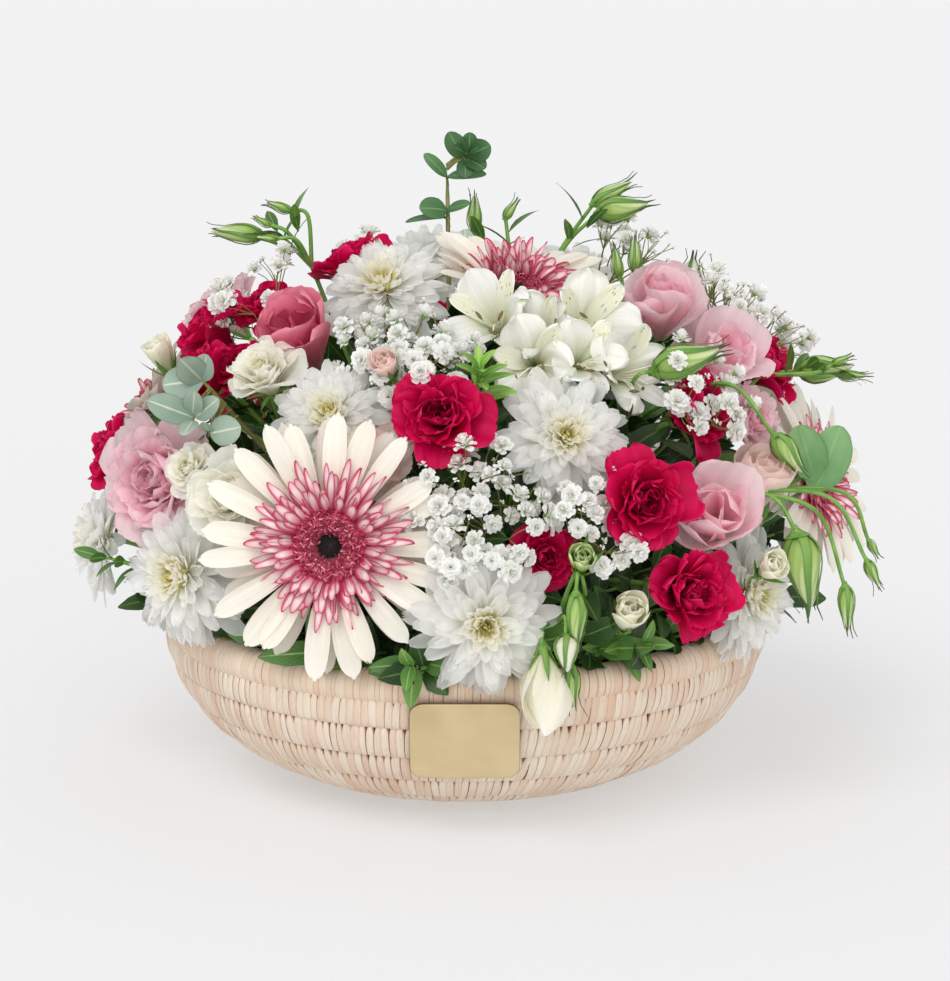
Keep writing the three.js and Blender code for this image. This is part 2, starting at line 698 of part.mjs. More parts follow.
// Heads on one stem. A lone head has a straight stem where that is clear. Otherwise the stem
// bends, or the heads' stems meet, at the clearest place about two thirds of the way out.
function buildStem(name, { heads, fork }) {
  const rand = random(seedOf(name));
  const built = heads.map((head) => buildHead(head, rand));
  const thick = Math.max(...built.map((head) => head.stem));
  const mean = middleOf(built.map((head) => head.neck));
  const bend = fork ? vector(fork) : towards(mean, mean.distanceTo(FOCUS) * FORK_SHARE);
  const runsFor = (place) => {
    const root = towards(place, STEM_END);
    const [only, ...others] = built;
    if (others.length === 0) return [{ points: [root, place, only.neck], radius: thick }];
    const branches = built.map((head) => ({ points: [place, ...head.route, head.neck], radius: head.stem }));
    return [{ points: [root, place], radius: thick }, ...branches];
  };
  const straight = [{ points: [towards(mean, STEM_END), built[0].neck], radius: thick }];
  const grown = (runs) => join(tubesOf(runs, CLEARANCE));
  const lone = built.length === 1 && blocked(grown(straight)) < TOUCH;
  const bent = () => runsFor(clearest(around(bend), (place) => grown(runsFor(place))).candidate);
  const runs = lone ? straight : bent();
  return {
    solid: join([...built.map((head) => head.solid), ...tubesOf(runs, 0)]),
    keepOut: join([...built.map((head) => head.keepOut), ...tubesOf(runs, WIDE_CLEARANCE)]),
    hole: holeFor(runs[0].points[0], runs[0].points[1], thick),
  };
}

// Florets in clusters: each cluster has a branch, and each floret that finds a clear place has a
// fine stalk of its own that leaves the branch a little further out than the last
function buildGypsophila(name, clusters) {
  const rand = random(seedOf(name));
  const centres = clusters.map(([at]) => vector(at));
  const { trunk, branch, stalk } = GYPSOPHILA_STEM;
  const mean = middleOf(centres);
  const mainRuns = (hub) => [
    { points: [towards(hub, STEM_END), hub], radius: trunk },
    ...centres.map((centre) => ({ points: [hub, hub.clone().lerp(centre, BRANCH_END)], radius: branch })),
  ];
  const start = towards(mean, mean.distanceTo(FOCUS) * GYPSOPHILA_FORK);
  const hub = clearest(around(start), (place) => join(tubesOf(mainRuns(place), CLEARANCE))).candidate;
  const runs = mainRuns(hub);
  const florets = [];
  const ball = ({ place, radius }, grow) =>
    solidOf(new THREE.OctahedronGeometry(radius + grow * Math.sqrt(3), 0).translate(...place.toArray()));
  clusters.forEach(([, count, spread], c) => {
    const turn = new THREE.Quaternion().setFromUnitVectors(
      new THREE.Vector3(0, 0, 1), centres[c].clone().sub(FOCUS).normalize());
    for (let i = 0; i < count; i++) {
      const tries = Array.from({ length: FLORET_TRIES }, () => {
        const angle = i * GOLDEN_ANGLE + (rand() - 0.5) * 1.2;
        const reach = spread * Math.sqrt((i + rand()) / count);
        const offset = new THREE.Vector3(Math.cos(angle) * reach, Math.sin(angle) * reach, rand() * 12 - 3);
        const place = offset.applyQuaternion(turn).add(centres[c]);
        return { place, radius: FLORET_RADIUS * (0.85 + 0.3 * rand()) };
      });
      const leaves = hub.clone().lerp(centres[c], BRANCH_END * (0.45 + (0.53 * (i + 1)) / count));
      const stalkTo = ({ place }) => ({ points: [leaves, place], radius: stalk });
      const whole = (f) => join([ball(f, CLEARANCE), ...tubesOf([stalkTo(f)], CLEARANCE)]);
      const found = clearest(tries, whole);
      if (found.amount > TOUCH) continue;
      florets.push(found.candidate);
      runs.push(stalkTo(found.candidate));
    }
  });
  const shapes = (grow) => [...tubesOf(runs, grow), ...florets.map((f) => ball(f, grow))];
  return {
    solid: join(shapes(0)),
    keepOut: join(shapes(WIDE_CLEARANCE)),
    hole: holeFor(runs[0].points[0], hub, trunk),
  };
}

// A leaf from its start along the way it leans, as a blade with a flat upper face and a keel below
function leafSolid({ start: root, leans: along, up, length }, width, grow) {
  const side = along.clone().cross(up).normalize();
  const face = side.clone().cross(along).normalize();
  const places = [];
  const at = (share, across, rise) => {
    const p = root.clone().addScaledVector(along, share * length);
    p.addScaledVector(side, across).addScaledVector(face, rise);
    places.push(p.toArray());
    return places.length - 1;
  };
  const rings = LEAF_STATIONS.map(([share, wide, lift]) => {
    if (wide === 0) return [at(share + Math.sign(share) * grow / length, 0, lift * length)];
    const half = (wide * width) / 2 + grow;
    const thick = LEAF_THICKNESS / 2 + grow;
    const rise = lift * length;
    return [at(share, half, rise + thick), at(share, -half, rise + thick), at(share, 0, rise - thick)];
  });
  const faces = [];
  rings.slice(1).forEach((ring, i) => {
    const before = rings[i];
    for (let k = 0; k < 3; k++) {
      const next = (k + 1) % 3;
      if (before.length === 1) faces.push([before[0], ring[next], ring[k]]);
      else if (ring.length === 1) faces.push([before[k], before[next], ring[0]]);
      else faces.push([before[k], before[next], ring[next]], [before[k], ring[next], ring[k]]);
    }
  });
  const solid = solidOf(closedGeometry(places, faces));
  return solid.volume() > 0 ? solid : solidOf(closedGeometry(places, faces.map(([a, b, c]) => [a, c, b])));
}

// Leaves round the end of a stem, each turned till it finds a clear place
function buildLeafy(name, { tip, leaves, size, along }) {
  const rand = random(seedOf(name));
  const end = vector(tip);
  const runsFor = (bend) => [{ points: [towards(bend, STEM_END), bend, end], radius: LEAFY_STEM }];
  const middle = towards(end, end.distanceTo(FOCUS) * FORK_SHARE);
  const straight = [{ points: [towards(end, STEM_END), end], radius: LEAFY_STEM }];
  const grown = (runs) => join(tubesOf(runs, CLEARANCE));
  const bent = () => runsFor(clearest(around(middle), (bend) => grown(runsFor(bend))).candidate);
  const runs = blocked(grown(straight)) < TOUCH ? straight : bent();
  const way = end.clone().sub(runs[0].points.at(-2)).normalize();
  const across = new THREE.Vector3(0, 0, 1).cross(way).normalize();
  const blades = [];
  for (let i = 0; i < leaves; i++) {
    const back = along * (1 - (i + 1) / leaves);
    const start = end.clone().addScaledVector(way, -back - 1);
    const last = i === leaves - 1;
    const tries = Array.from({ length: LEAF_TRIES }, (_, n) => {
      const turn = i * GOLDEN_ANGLE + (2 * Math.PI * n) / LEAF_TRIES + rand() * 0.4;
      const out = across.clone().applyAxisAngle(way, turn);
      const open = last ? 0.15 + 0.2 * n : THREE.MathUtils.lerp(...LEAF_OPEN, rand());
      const leans = way.clone().multiplyScalar(Math.cos(open)).addScaledVector(out, Math.sin(open));
      return { start, leans: leans.normalize(), up: way, length: size[0] * (0.85 + 0.3 * rand()) };
    });
    const grownLeaf = (leaf) => leafSolid(leaf, size[1], CLEARANCE);
    const found = clearest(tries, grownLeaf);
    if (found.amount < TOUCH) blades.push(found.candidate);
  }
  const shapes = (grow) => [...tubesOf(runs, grow), ...blades.map((leaf) => leafSolid(leaf, size[1], grow))];
  return {
    solid: join(shapes(0)),
    keepOut: join(shapes(WIDE_CLEARANCE)),
    hole: holeFor(runs[0].points[0], runs[0].points[1], LEAFY_STEM),
  };
}

// The whole arrangement, in the order in which pieces take their space
const group = new THREE.Group();
function show(name, solid, colour, roughness, metalness = 0) {
  const material = new THREE.MeshStandardMaterial({ color: colour, roughness, metalness });
  const mesh = new THREE.Mesh(geometryOf(solid), material);
  mesh.name = name;
  group.add(mesh);
}

const plaque = plaqueSolid();
const rimSpace = solidOf(lathe(RIM_SPACE, ROUND_SEGMENTS));
let taken = rimSpace.add(plaque);
let foam = foamSolid();

function plant(name, colour, { solid, keepOut, hole }) {
  const free = largestBody(solid.subtract(taken).simplify(SMALLEST_EDGE));
  foam = foam.subtract(hole);
  taken = taken.add(keepOut);
  show(name, free, colour, 0.6);
}

for (const [name, spec] of Object.entries(STEMS)) plant(name, spec.colour, buildStem(name, spec));
for (const [name, spec] of Object.entries(LEAFY)) plant(name, spec.colour, buildLeafy(name, spec));
for (const [name, list] of Object.entries(GYPSOPHILA)) plant(name, PALE_WHITE, buildGypsophila(name, list));
show("basket", basketSolid(), STRAW, 0.75);
show("liner", linerSolid(), LINER_GREEN, 0.45);
show("foam", largestBody(foam), FOAM_GREEN, 0.9);
show("plaque", plaque, BRASS, 0.35, 0.6);

export default group;
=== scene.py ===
# The looks of the flower basket arrangement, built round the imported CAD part.
# Lengths are in millimetres until a mesh is made. +Z is up, and the front faces -Y.
import math
from functools import partial

import bpy
import numpy as np
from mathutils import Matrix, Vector


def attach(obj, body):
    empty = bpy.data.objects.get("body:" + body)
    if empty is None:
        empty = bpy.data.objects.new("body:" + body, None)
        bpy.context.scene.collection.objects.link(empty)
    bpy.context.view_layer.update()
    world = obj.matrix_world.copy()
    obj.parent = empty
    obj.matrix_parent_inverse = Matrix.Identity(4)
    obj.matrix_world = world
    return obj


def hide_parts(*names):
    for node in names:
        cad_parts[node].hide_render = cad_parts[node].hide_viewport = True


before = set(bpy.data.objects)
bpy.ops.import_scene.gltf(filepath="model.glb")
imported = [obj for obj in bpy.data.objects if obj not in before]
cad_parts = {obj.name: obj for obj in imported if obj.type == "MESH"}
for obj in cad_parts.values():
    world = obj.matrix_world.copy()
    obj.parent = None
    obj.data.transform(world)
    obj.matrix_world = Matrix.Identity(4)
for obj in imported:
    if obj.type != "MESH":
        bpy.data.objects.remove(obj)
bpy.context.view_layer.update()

MM = 0.001
FOCUS = np.array([0.0, 0.0, 50.0])  # where every stem points, inside the foam
STEM_END = 46.0  # how far from the focus a stem stops
FORK_SHARE = 0.74  # of the way from the focus to the heads
GOLDEN_ANGLE = 2.39996
FULL_TURN = 2 * np.pi

# The camera: it looks along +Y from 1.8 m, 13.6 degrees above the horizon
TARGET = (0.0041, 0.0, 0.1198)
CAMERA_DISTANCE = 1.8
CAMERA_ELEVATION = math.radians(13.6)
PIXEL_AT_TARGET = 0.000428
LONG_SIDE_PIXELS = 981
SENSOR = 36.0


def unit(v):
    v = np.asarray(v, float)
    return v / np.linalg.norm(v)


def direction(azimuth, elevation):
    a, e = math.radians(azimuth), math.radians(elevation)
    return np.array([math.cos(e) * math.cos(a), math.cos(e) * math.sin(a), math.sin(e)])


def towards(place, distance):
    """The point on the line from the focus towards a place, at a distance from the focus."""
    return FOCUS + unit(np.asarray(place, float) - FOCUS) * distance


def smooth(x, low, high):
    t = np.clip((x - low) / (high - low), 0, 1)
    return t * t * (3 - 2 * t)


def polar(radius, angle, height):
    """Points from cylindrical coordinates."""
    return np.stack(np.broadcast_arrays(radius * np.cos(angle), radius * np.sin(angle), height), -1)


# ---------------------------------------------------------------- materials
def colour(text):
    """A linear colour from a hex one."""
    parts = [int(text[i : i + 2], 16) / 255 for i in (0, 2, 4)]
    return [c / 12.92 if c <= 0.04045 else ((c + 0.055) / 1.055) ** 2.4 for c in parts] + [1.0]


class Value:
    """An output of a material's node. Arithmetic with it adds Math nodes."""

    def __init__(self, look, socket):
        self.look, self.socket = look, socket

    def __add__(self, other):
        return self.look.math("ADD", self, other)

    def __mul__(self, other):
        return self.look.math("MULTIPLY", self, other)

    def __sub__(self, other):
        return self.look.math("SUBTRACT", self, other)

    def __rsub__(self, other):
        return self.look.math("SUBTRACT", other, self)

    def __abs__(self):
        return self.look.math("ABSOLUTE", self)


class Look:
    """A material in the making. Each call adds a node and returns its output."""

    def __init__(self, name, glow=0.0, **values):
        self.material = bpy.data.materials.new(name)
        self.material.use_nodes = True
        self.tree = self.material.node_tree
        self.tree.nodes.clear()
        self.glow = glow
        self.shader = self.tree.nodes.new("ShaderNodeBsdfPrincipled")
        for key, value in values.items():
            self.shader.inputs[key.replace("_", " ").title().replace("Ior", "IOR")].default_value = value

    def node(self, kind, inputs=(), output=0, **settings):
        """Adds a node with its settings, and feeds its inputs, a socket and a value each."""
        node = self.tree.nodes.new("ShaderNode" + kind)
        for key, value in settings.items():
            setattr(node, key, value)
        for key, value in inputs:
            if isinstance(value, Value):
                self.tree.links.new(value.socket, node.inputs[key])
            elif value is not None:
                node.inputs[key].default_value = value
        return Value(self, node.outputs[output])

    def math(self, operation, a, b=None, clamp=False):
        return self.node("Math", enumerate((a, b)), operation=operation, use_clamp=clamp)

    def spread(self, value, low, high, to_low=0.0, to_high=1.0):
        return self.node("MapRange", enumerate((value, low, high, to_low, to_high)),
                         interpolation_type="SMOOTHSTEP")

    def mixed(self, share, a, b, blend="MIX"):
        a, b = (colour(c) if isinstance(c, str) else c for c in (a, b))
        return self.node("Mix", ((0, share), (6, a), (7, b)), 2, data_type="RGBA", blend_type=blend)

    def shaded(self, base, level):
        return self.mixed(1.0, base, self.vector(level, level, level), "MULTIPLY")

    def ramp(self, value, stops):
        """stops has a place and a colour in turn."""
        words = stops.split()
        stops = [(float(place), colour(text)) for place, text in zip(words[::2], words[1::2])]
        result = self.node("ValToRGB", [(0, value)])
        ends = result.socket.node.color_ramp.elements
        for end, stop in ((ends[0], stops[0]), (ends[1], stops[-1])):
            end.position, end.color = stop
        for place, paint in stops[1:-1]:
            ends.new(place).color = paint
        return result

    def vector(self, x, y, z=0.0):
        return self.node("CombineXYZ", enumerate((x, y, z)))

    def split(self, vector):
        return [Value(self, socket) for socket in self.node("SeparateXYZ", [(0, vector)]).socket.node.outputs]

    def place(self):
        """Across and along the petal, leaf or strip."""
        return self.split(self.node("UVMap", uv_map="Place"))[:2]

    def tint(self):
        """A petal's random number, its layer from 0 outside to 1 at the heart, and a second random number."""
        return self.split(self.node("Attribute", output="Vector", attribute_name="tint"))

    def position(self):
        return self.node("TexCoord", output="Object")

    def noise(self, vector, scale, detail=2.0, roughness=0.5):
        return self.node("TexNoise", (("Vector", vector), ("Scale", scale), ("Detail", detail),
                                      ("Roughness", roughness)))

    def white(self, vector):
        return self.node("TexWhiteNoise", [("Vector", vector)])

    def bump(self, height, strength, distance):
        return self.node("Bump", (("Strength", strength), ("Distance", distance), ("Height", height)))

    def done(self, base, roughness=None, normal=None):
        link = self.tree.links.new
        for key, value in (("Base Color", base), ("Roughness", roughness), ("Normal", normal)):
            if value:
                link(value.socket, self.shader.inputs[key])
        surface = self.shader.outputs[0]
        if self.glow:
            through = self.node("BsdfTranslucent", (("Color", base), ("Normal", normal))).socket
            both = self.node("MixShader", [(0, self.glow)]).socket
            link(surface, both.node.inputs[1])
            link(through, both.node.inputs[2])
            surface = both
        link(surface, self.tree.nodes.new("ShaderNodeOutputMaterial").inputs[0])
        return self.material


def petal_look(name, stops, edge=None, edge_at=(0.6, 1.0), edge_share=0.6, heart=None, heart_at=(0.5, 1.0),
               veins=0.08, vary=0.08, glow=0.25, roughness=0.5, **values):
    """A petal: colours from its base to its tip, an edge colour, a colour towards the bloom's heart, and veins."""
    look = Look(name, glow, roughness=roughness, **values)
    across, along = look.place()
    chance, layer, other = look.tint()
    base = look.ramp(along, stops)
    if heart:
        base = look.mixed(look.spread(layer, *heart_at), base, heart)
    if edge:
        base = look.mixed(look.spread(abs(across * 2.0 - 1.0), *edge_at, 0.0, edge_share), base, edge)
    lines = look.noise(look.vector(across * 14.0, along * 1.6, chance * 40.0), 1.0, 3.0)
    mottle = look.noise(look.position(), 90.0)
    level = (lines - 0.5) * (veins * 2.4) + (mottle - 0.5) * veins + (other - 0.5) * vary + 1.0
    return look.done(look.shaded(base, level), normal=look.bump(lines, 0.25, 0.0004))


def leaf_look(name, stops, rib, vein_share=0.35, vary=0.25, roughness=0.42, glow=0.18, edge=None):
    """A leaf: colours along it, slanted veins and a midrib of the rib's colour, and an edge colour."""
    look = Look(name, glow, roughness=roughness)
    across, along = look.place()
    chance, _, other = look.tint()
    side = abs(across * 2.0 - 1.0)
    stripes = abs(look.math("FRACT", along * 9.0 - side * 3.2) - 0.5)
    veins = look.spread(stripes, 0.0, 0.09, 1.0, 0.0) * vein_share
    marks = look.math("MAXIMUM", veins, look.spread(side, 0.03, 0.11, 1.0, 0.0))
    base = look.mixed(marks * 0.75, look.ramp(along * 0.5 + chance * 0.5, stops), rib)
    if edge:
        base = look.mixed(look.spread(side, 0.88, 1.0, 0.0, 0.7), base, edge)
    mottle = look.noise(look.position(), 120.0, 3.0)
    level = (mottle - 0.5) * 0.5 + ((other - 0.5) * vary + 1.0)
    return look.done(look.shaded(base, level), normal=look.bump(marks * -1.0 + mottle * 0.4, 0.35, 0.0005))


def stem_look(name, stops):
    look = Look(name, roughness=0.5)
    across, along = look.place()
    streaks = look.noise(look.vector(across * 9.0, along * 3.0, look.tint()[0] * 30.0), 1.0, 3.0)
    share = streaks * 0.6 + look.noise(look.position(), 160.0, 3.0) * 0.4
    return look.done(look.ramp(look.spread(share, 0.3, 0.7), stops), normal=look.bump(streaks, 0.3, 0.0004))


def disc_look():
    """The gerbera's disc: crimson and rose specks, a crimson border and a nearly black middle."""
    look = Look("gerbera_disc", 0.12, roughness=0.6)
    along = look.place()[1]
    chance, layer, _ = look.tint()
    speck = look.noise(look.position(), 900.0)
    tone = chance * 0.75 + along * 0.25 + (speck - 0.5) * 0.4
    base = look.ramp(tone, ".1 8c1436 .4 b8385a .68 cf5e78 .86 e89a9c 1 efc0a8")
    base = look.mixed(look.spread(layer, 0.16, 0.03, 0.0, 0.9), base, "cc1450")
    base = look.mixed(look.spread(layer, 0.42, 0.62, 0.0, 0.6), base, "6c1028")
    base = look.mixed(look.spread(layer, 0.7, 0.8), base, "1c0509")
    return look.done(base, normal=look.bump(speck, 0.3, 0.0004))


def flecked_look():
    """Alstroemeria: white with a green tip and a pale yellow throat, and short maroon flecks on some petals."""
    look = Look("alstroemeria_petal", 0.2, roughness=0.42)
    across, along = look.place()
    chance, layer, _ = look.tint()
    base = look.ramp(along, "0 b3c484 .28 e9ecd0 .55 f6f6f0 .93 f8f8f3 1 dbe5b2")
    side = abs(across * 2.0 - 1.0)
    base = look.mixed(look.spread(side, 0.0, 0.16, 1.0, 0.0) * look.spread(along, 0.5, 1.0, 0.2, 0.6), base,
                      "dfe8c6")
    inner = look.spread(layer, 0.4, 0.6)
    throat = look.spread(along, 0.35, 0.62) * look.spread(along, 0.9, 0.7)
    base = look.mixed(throat * inner * 0.4, base, "f3f0b8")
    spots = look.node("TexVoronoi", (("Vector", look.vector(across * 9.0, along * 5.5, chance * 20.0)),
                                     ("Scale", 1.0)), "Distance")
    flecks = look.spread(spots, 0.1, 0.17, 1.0, 0.0) * inner
    base = look.mixed(flecks * (look.spread(along, 0.4, 0.5) * look.spread(along, 0.92, 0.84)), base, "4a1220")
    lines = look.noise(look.vector(across * 16.0, along * 1.2, chance * 40.0), 1.0, 3.0)
    return look.done(look.shaded(base, (lines - 0.5) * 0.24 + 1.0), normal=look.bump(lines, 0.35, 0.0005))


def straw_look(name, line_share, warm):
    """Wrapped straw. Across counts the wraps; the tint's layer, how deep a point lies between two wraps, is painted as
    shade.
    """
    look = Look(name, roughness=0.6, specular_ior_level=0.3)
    across, along = look.place()
    gap_and_shade = look.tint()[1]
    coil, part = look.math("FLOOR", along), look.math("FRACT", across)
    near = look.math("MINIMUM", part, 1.0 - part)
    pick = look.white(look.vector(look.math("FLOOR", across), coil))
    joint = look.white(look.vector(look.math("FLOOR", across + 0.5), coil, 7.0))
    tone = pick * 0.34 + look.noise(look.position(), 22.0, 3.0) * 0.75
    base = look.ramp(tone, ".2 d2ae92 .4 ddc5b0 .6 e3d3c0 .9 ebe1d2")
    fibre = look.noise(look.vector(across * 9.0, along * 1.1, coil), 1.0, 4.0, 0.62)
    base = look.mixed(look.spread(fibre, 0.46, 0.78, 0.0, 0.55), base, "c9a98c")
    thread = look.noise(look.vector(across * 5.0, along * 0.7, coil), 1.0, 2.0, 0.4)
    base = look.mixed(look.spread(abs(thread - 0.5), 0.0, 0.012, 0.5, 0.0), base, "a58063")
    line = look.spread(near, 0.015, 0.085, 1.0, 0.0)
    share = look.spread(joint, 0.3, 0.9, line_share * 0.15, line_share) + look.spread(joint, 0.93, 0.97, 0.0, 0.7)
    base = look.mixed(look.math("MULTIPLY", line, share, clamp=True), base, "7d5238")
    # Painted shade: brown, then nearly black, the deeper a point lies in a wedge between wraps or under the coil
    # above.
    base = look.mixed(look.spread(gap_and_shade, 0.06, 0.5, 0.0, 0.85), base, "8c5b3e")
    base = look.mixed(look.spread(gap_and_shade, 0.45, 1.0, 0.0, 0.95), base, "301a10")
    if warm:
        base = look.mixed(0.3, base, "e2bf9f")
    return look.done(base, normal=look.bump(fibre * 0.6 + line * -0.5, 0.5, 0.0006))


def plain_look(name, stops, scale, strength, **values):
    """A mottled material for the liner, the foam and the floor."""
    look = Look(name, **values)
    grain = look.noise(look.position(), scale, 5.0, 0.6)
    return look.done(look.ramp(look.spread(grain, 0.3, 0.7), stops), normal=look.bump(grain, strength, 0.001))


def plaque_look():
    """A plate of soft gold, brushed along its length, with painted shade on its sides."""
    look = Look("plaque_gold", roughness=0.36, metallic=0.15)
    x, y, z = look.split(look.position())
    brushed = look.noise(look.vector(x * 30.0, y * 2500.0, z * 2500.0), 1.0, 4.0)
    base = look.ramp(look.noise(look.position(), 60.0), ".3 c6b085 .7 d0bc92")
    base = look.shaded(base, (brushed - 0.5) * 0.12 + 1.0)
    # Painted shade: the plate's sides, where the tint's layer is 1, go dark brown.
    base = look.mixed(look.spread(look.tint()[1], 0.2, 0.9, 0.0, 0.9), base, "6d4c2a")
    return look.done(base, brushed * 0.2 + 0.28, look.bump(brushed, 0.08, 0.0002))


FAINT_VEINS = 0.12
LOOKS = {
    "ray": petal_look("gerbera_ray", "0 f3dcd0 .3 f6efe2 1 f9f6ea", "f7e8de", (0.88, 1.0), 0.3, veins=0.1),
    # Painted light: the lower row of rays has its own lighter colour, to lift the shade that the other rays cast on
    # it.
    "ray_under_painted_light": petal_look("gerbera_under_ray_painted_light", "0 f4dcd2 .5 faf3e8 1 fcf8ee", "f4dcd2", glow=0.5),
    "floret": petal_look("gerbera_floret", "0 d84a72 .2 f2a8b8 .5 fdf0ee .76 f6bcc8 .92 cf3a68 1 b81c4e", "cb2f60",
                         (0.3, 0.86), 0.92, glow=0.24, vary=0.26),
    "disc": disc_look(),
    "mum": petal_look("mum_petal", "0 fffdf2 .3 fffffc 1 ffffff", heart="fffdf2", heart_at=(0.6, 1.0), veins=0.04,
                      vary=0.04, glow=0.7),
    "mum_heart": petal_look("mum_heart", "0 f6e89a .6 fcf6c4 1 fffbe2", veins=0.03, glow=0.7),
    "lisianthus": petal_look("lisianthus_petal", "0 f2eed0 .14 fce6ea .5 fbdce3 1 feeaee", "f8cbd6", (0.84, 1.0),
                             0.45, heart="f9cfd9", heart_at=(0.3, 1.0), veins=0.12, glow=0.56),
    "deep": petal_look("deep_lisianthus_petal", "0 e8d8b4 .14 e88aa0 .5 e4748f 1 f09aae", "e98ba2", (0.8, 1.0), 0.5,
                       heart="d8587a", heart_at=(0.3, 1.0), glow=0.3),
    "crimson": petal_look("crimson_petal", "0 98002c .35 ce0048 1 e61060", "f0508c", (0.93, 1.0), 0.5,
                          heart="b0003c", glow=0.34, specular_ior_level=0.2),
    "cream": petal_look("cream_petal", "0 eef0cc .25 fbf9ec 1 fffef8", "fdf8ec", (0.8, 1.0), 0.5, heart="fbf7e0",
                        heart_at=(0.6, 1.0), veins=0.04, vary=0.04, glow=0.5),
    "blush": petal_look("blush_petal", "0 eee4c4 .3 fbeee6 1 fbe6e0", "f6d2cc", (0.7, 1.0), 0.5, glow=0.5),
    "alstroemeria": flecked_look(),
    "floss": petal_look("gypsophila_petal", "0 eef2dc .4 fcfcf8 1 ffffff", veins=0.03, vary=0.04, glow=0.35),
    "bud_skin": petal_look("bud_skin", "0 6f9a3e .35 a9c56c .8 d3e0a4 1 e4eac2", "7fa648", (0.5, 1.0), 0.6,
                           veins=0.16, glow=0.12, roughness=0.4),
    "rose_bud_skin": petal_look("rose_bud_skin", "0 d6df9e .3 f8f6e0 1 fefcf0", "f0f0cc", (0.6, 1.0), 0.5,
                                glow=0.34),
    "sepal": petal_look("sepal", "0 86ad50 .6 5f8e3a .9 42582a 1 33301f", "4d7332", (0.5, 1.0), 0.6, veins=0.14,
                        glow=0.12, roughness=0.45),
    "leaf": leaf_look("leaf_green", "0 36602a .5 527f34 1 76a046", "a2c474"),
    "bright": leaf_look("leaf_bright", "0 5e962e .5 82b444 1 a8cc5e", "c6e08c"),
    # Painted shade in part: a dark leaf green, made darker still to stand in for the shade deep between the blooms.
    "dark": leaf_look("leaf_dark", "0 1a2f12 .5 294a1a 1 3f6e28", "6d8c48", roughness=0.38),
    "grey": leaf_look("leaf_grey", "0 839c8c .5 97ad9c 1 b0c1b0", "dfe2cc", FAINT_VEINS, roughness=0.6,
                      edge="857a68"),
    "gum": leaf_look("leaf_gum", "0 2f5a30 .5 446f40 1 5f8a54", "7ba070", FAINT_VEINS, roughness=0.5, edge="2c3f24"),
    "fresh": leaf_look("leaf_fresh", "0 6c9c64 .5 7cab70 1 92bb80", "8db87e", FAINT_VEINS, 0.12, 0.5, 0.26,
                       "648f58"),
    "stem": stem_look("stem_green", "0 4f7d2e .5 6f9e42 1 8fb85c"),
    "twig": stem_look("stem_twig", "0 5d5a2c .5 7d7d42 1 9a9a5c"),
    "calyx": stem_look("calyx_green", "0 4c7a2c .5 6b9a3e 1 8db556"),
    "anther": stem_look("anther", "0 4e3d22 .5 6e5a34 1 8c7a48"),
    "filament": stem_look("filament", "0 e9e6c4 .5 f2efdb 1 f7f5e8"),
    "straw": straw_look("straw_coil", 0.8, False),
    "straw_rim": straw_look("straw_rim", 0.9, True),
    "liner": plain_look("liner_dark", "0 0c1a14 1 16281e", 300.0, 0.1, roughness=0.4),
    "foam": plain_look("foam_wet", "0 101d0e .5 1d331a 1 2b4724", 900.0, 0.8, roughness=0.85),
    "plaque": plaque_look(),
}


# ---------------------------------------------------------------- meshes
def quad_corners(grid):
    """The corners of each quad of a (count, rows, columns, ...) grid, on a new axis after the columns."""
    return np.stack([grid[:, :-1, :-1], grid[:, :-1, 1:], grid[:, 1:, 1:], grid[:, 1:, :-1]], 3)


def fill(items, key, values, kind=np.float32):
    items.foreach_set(key, np.asarray(values).astype(kind).ravel())


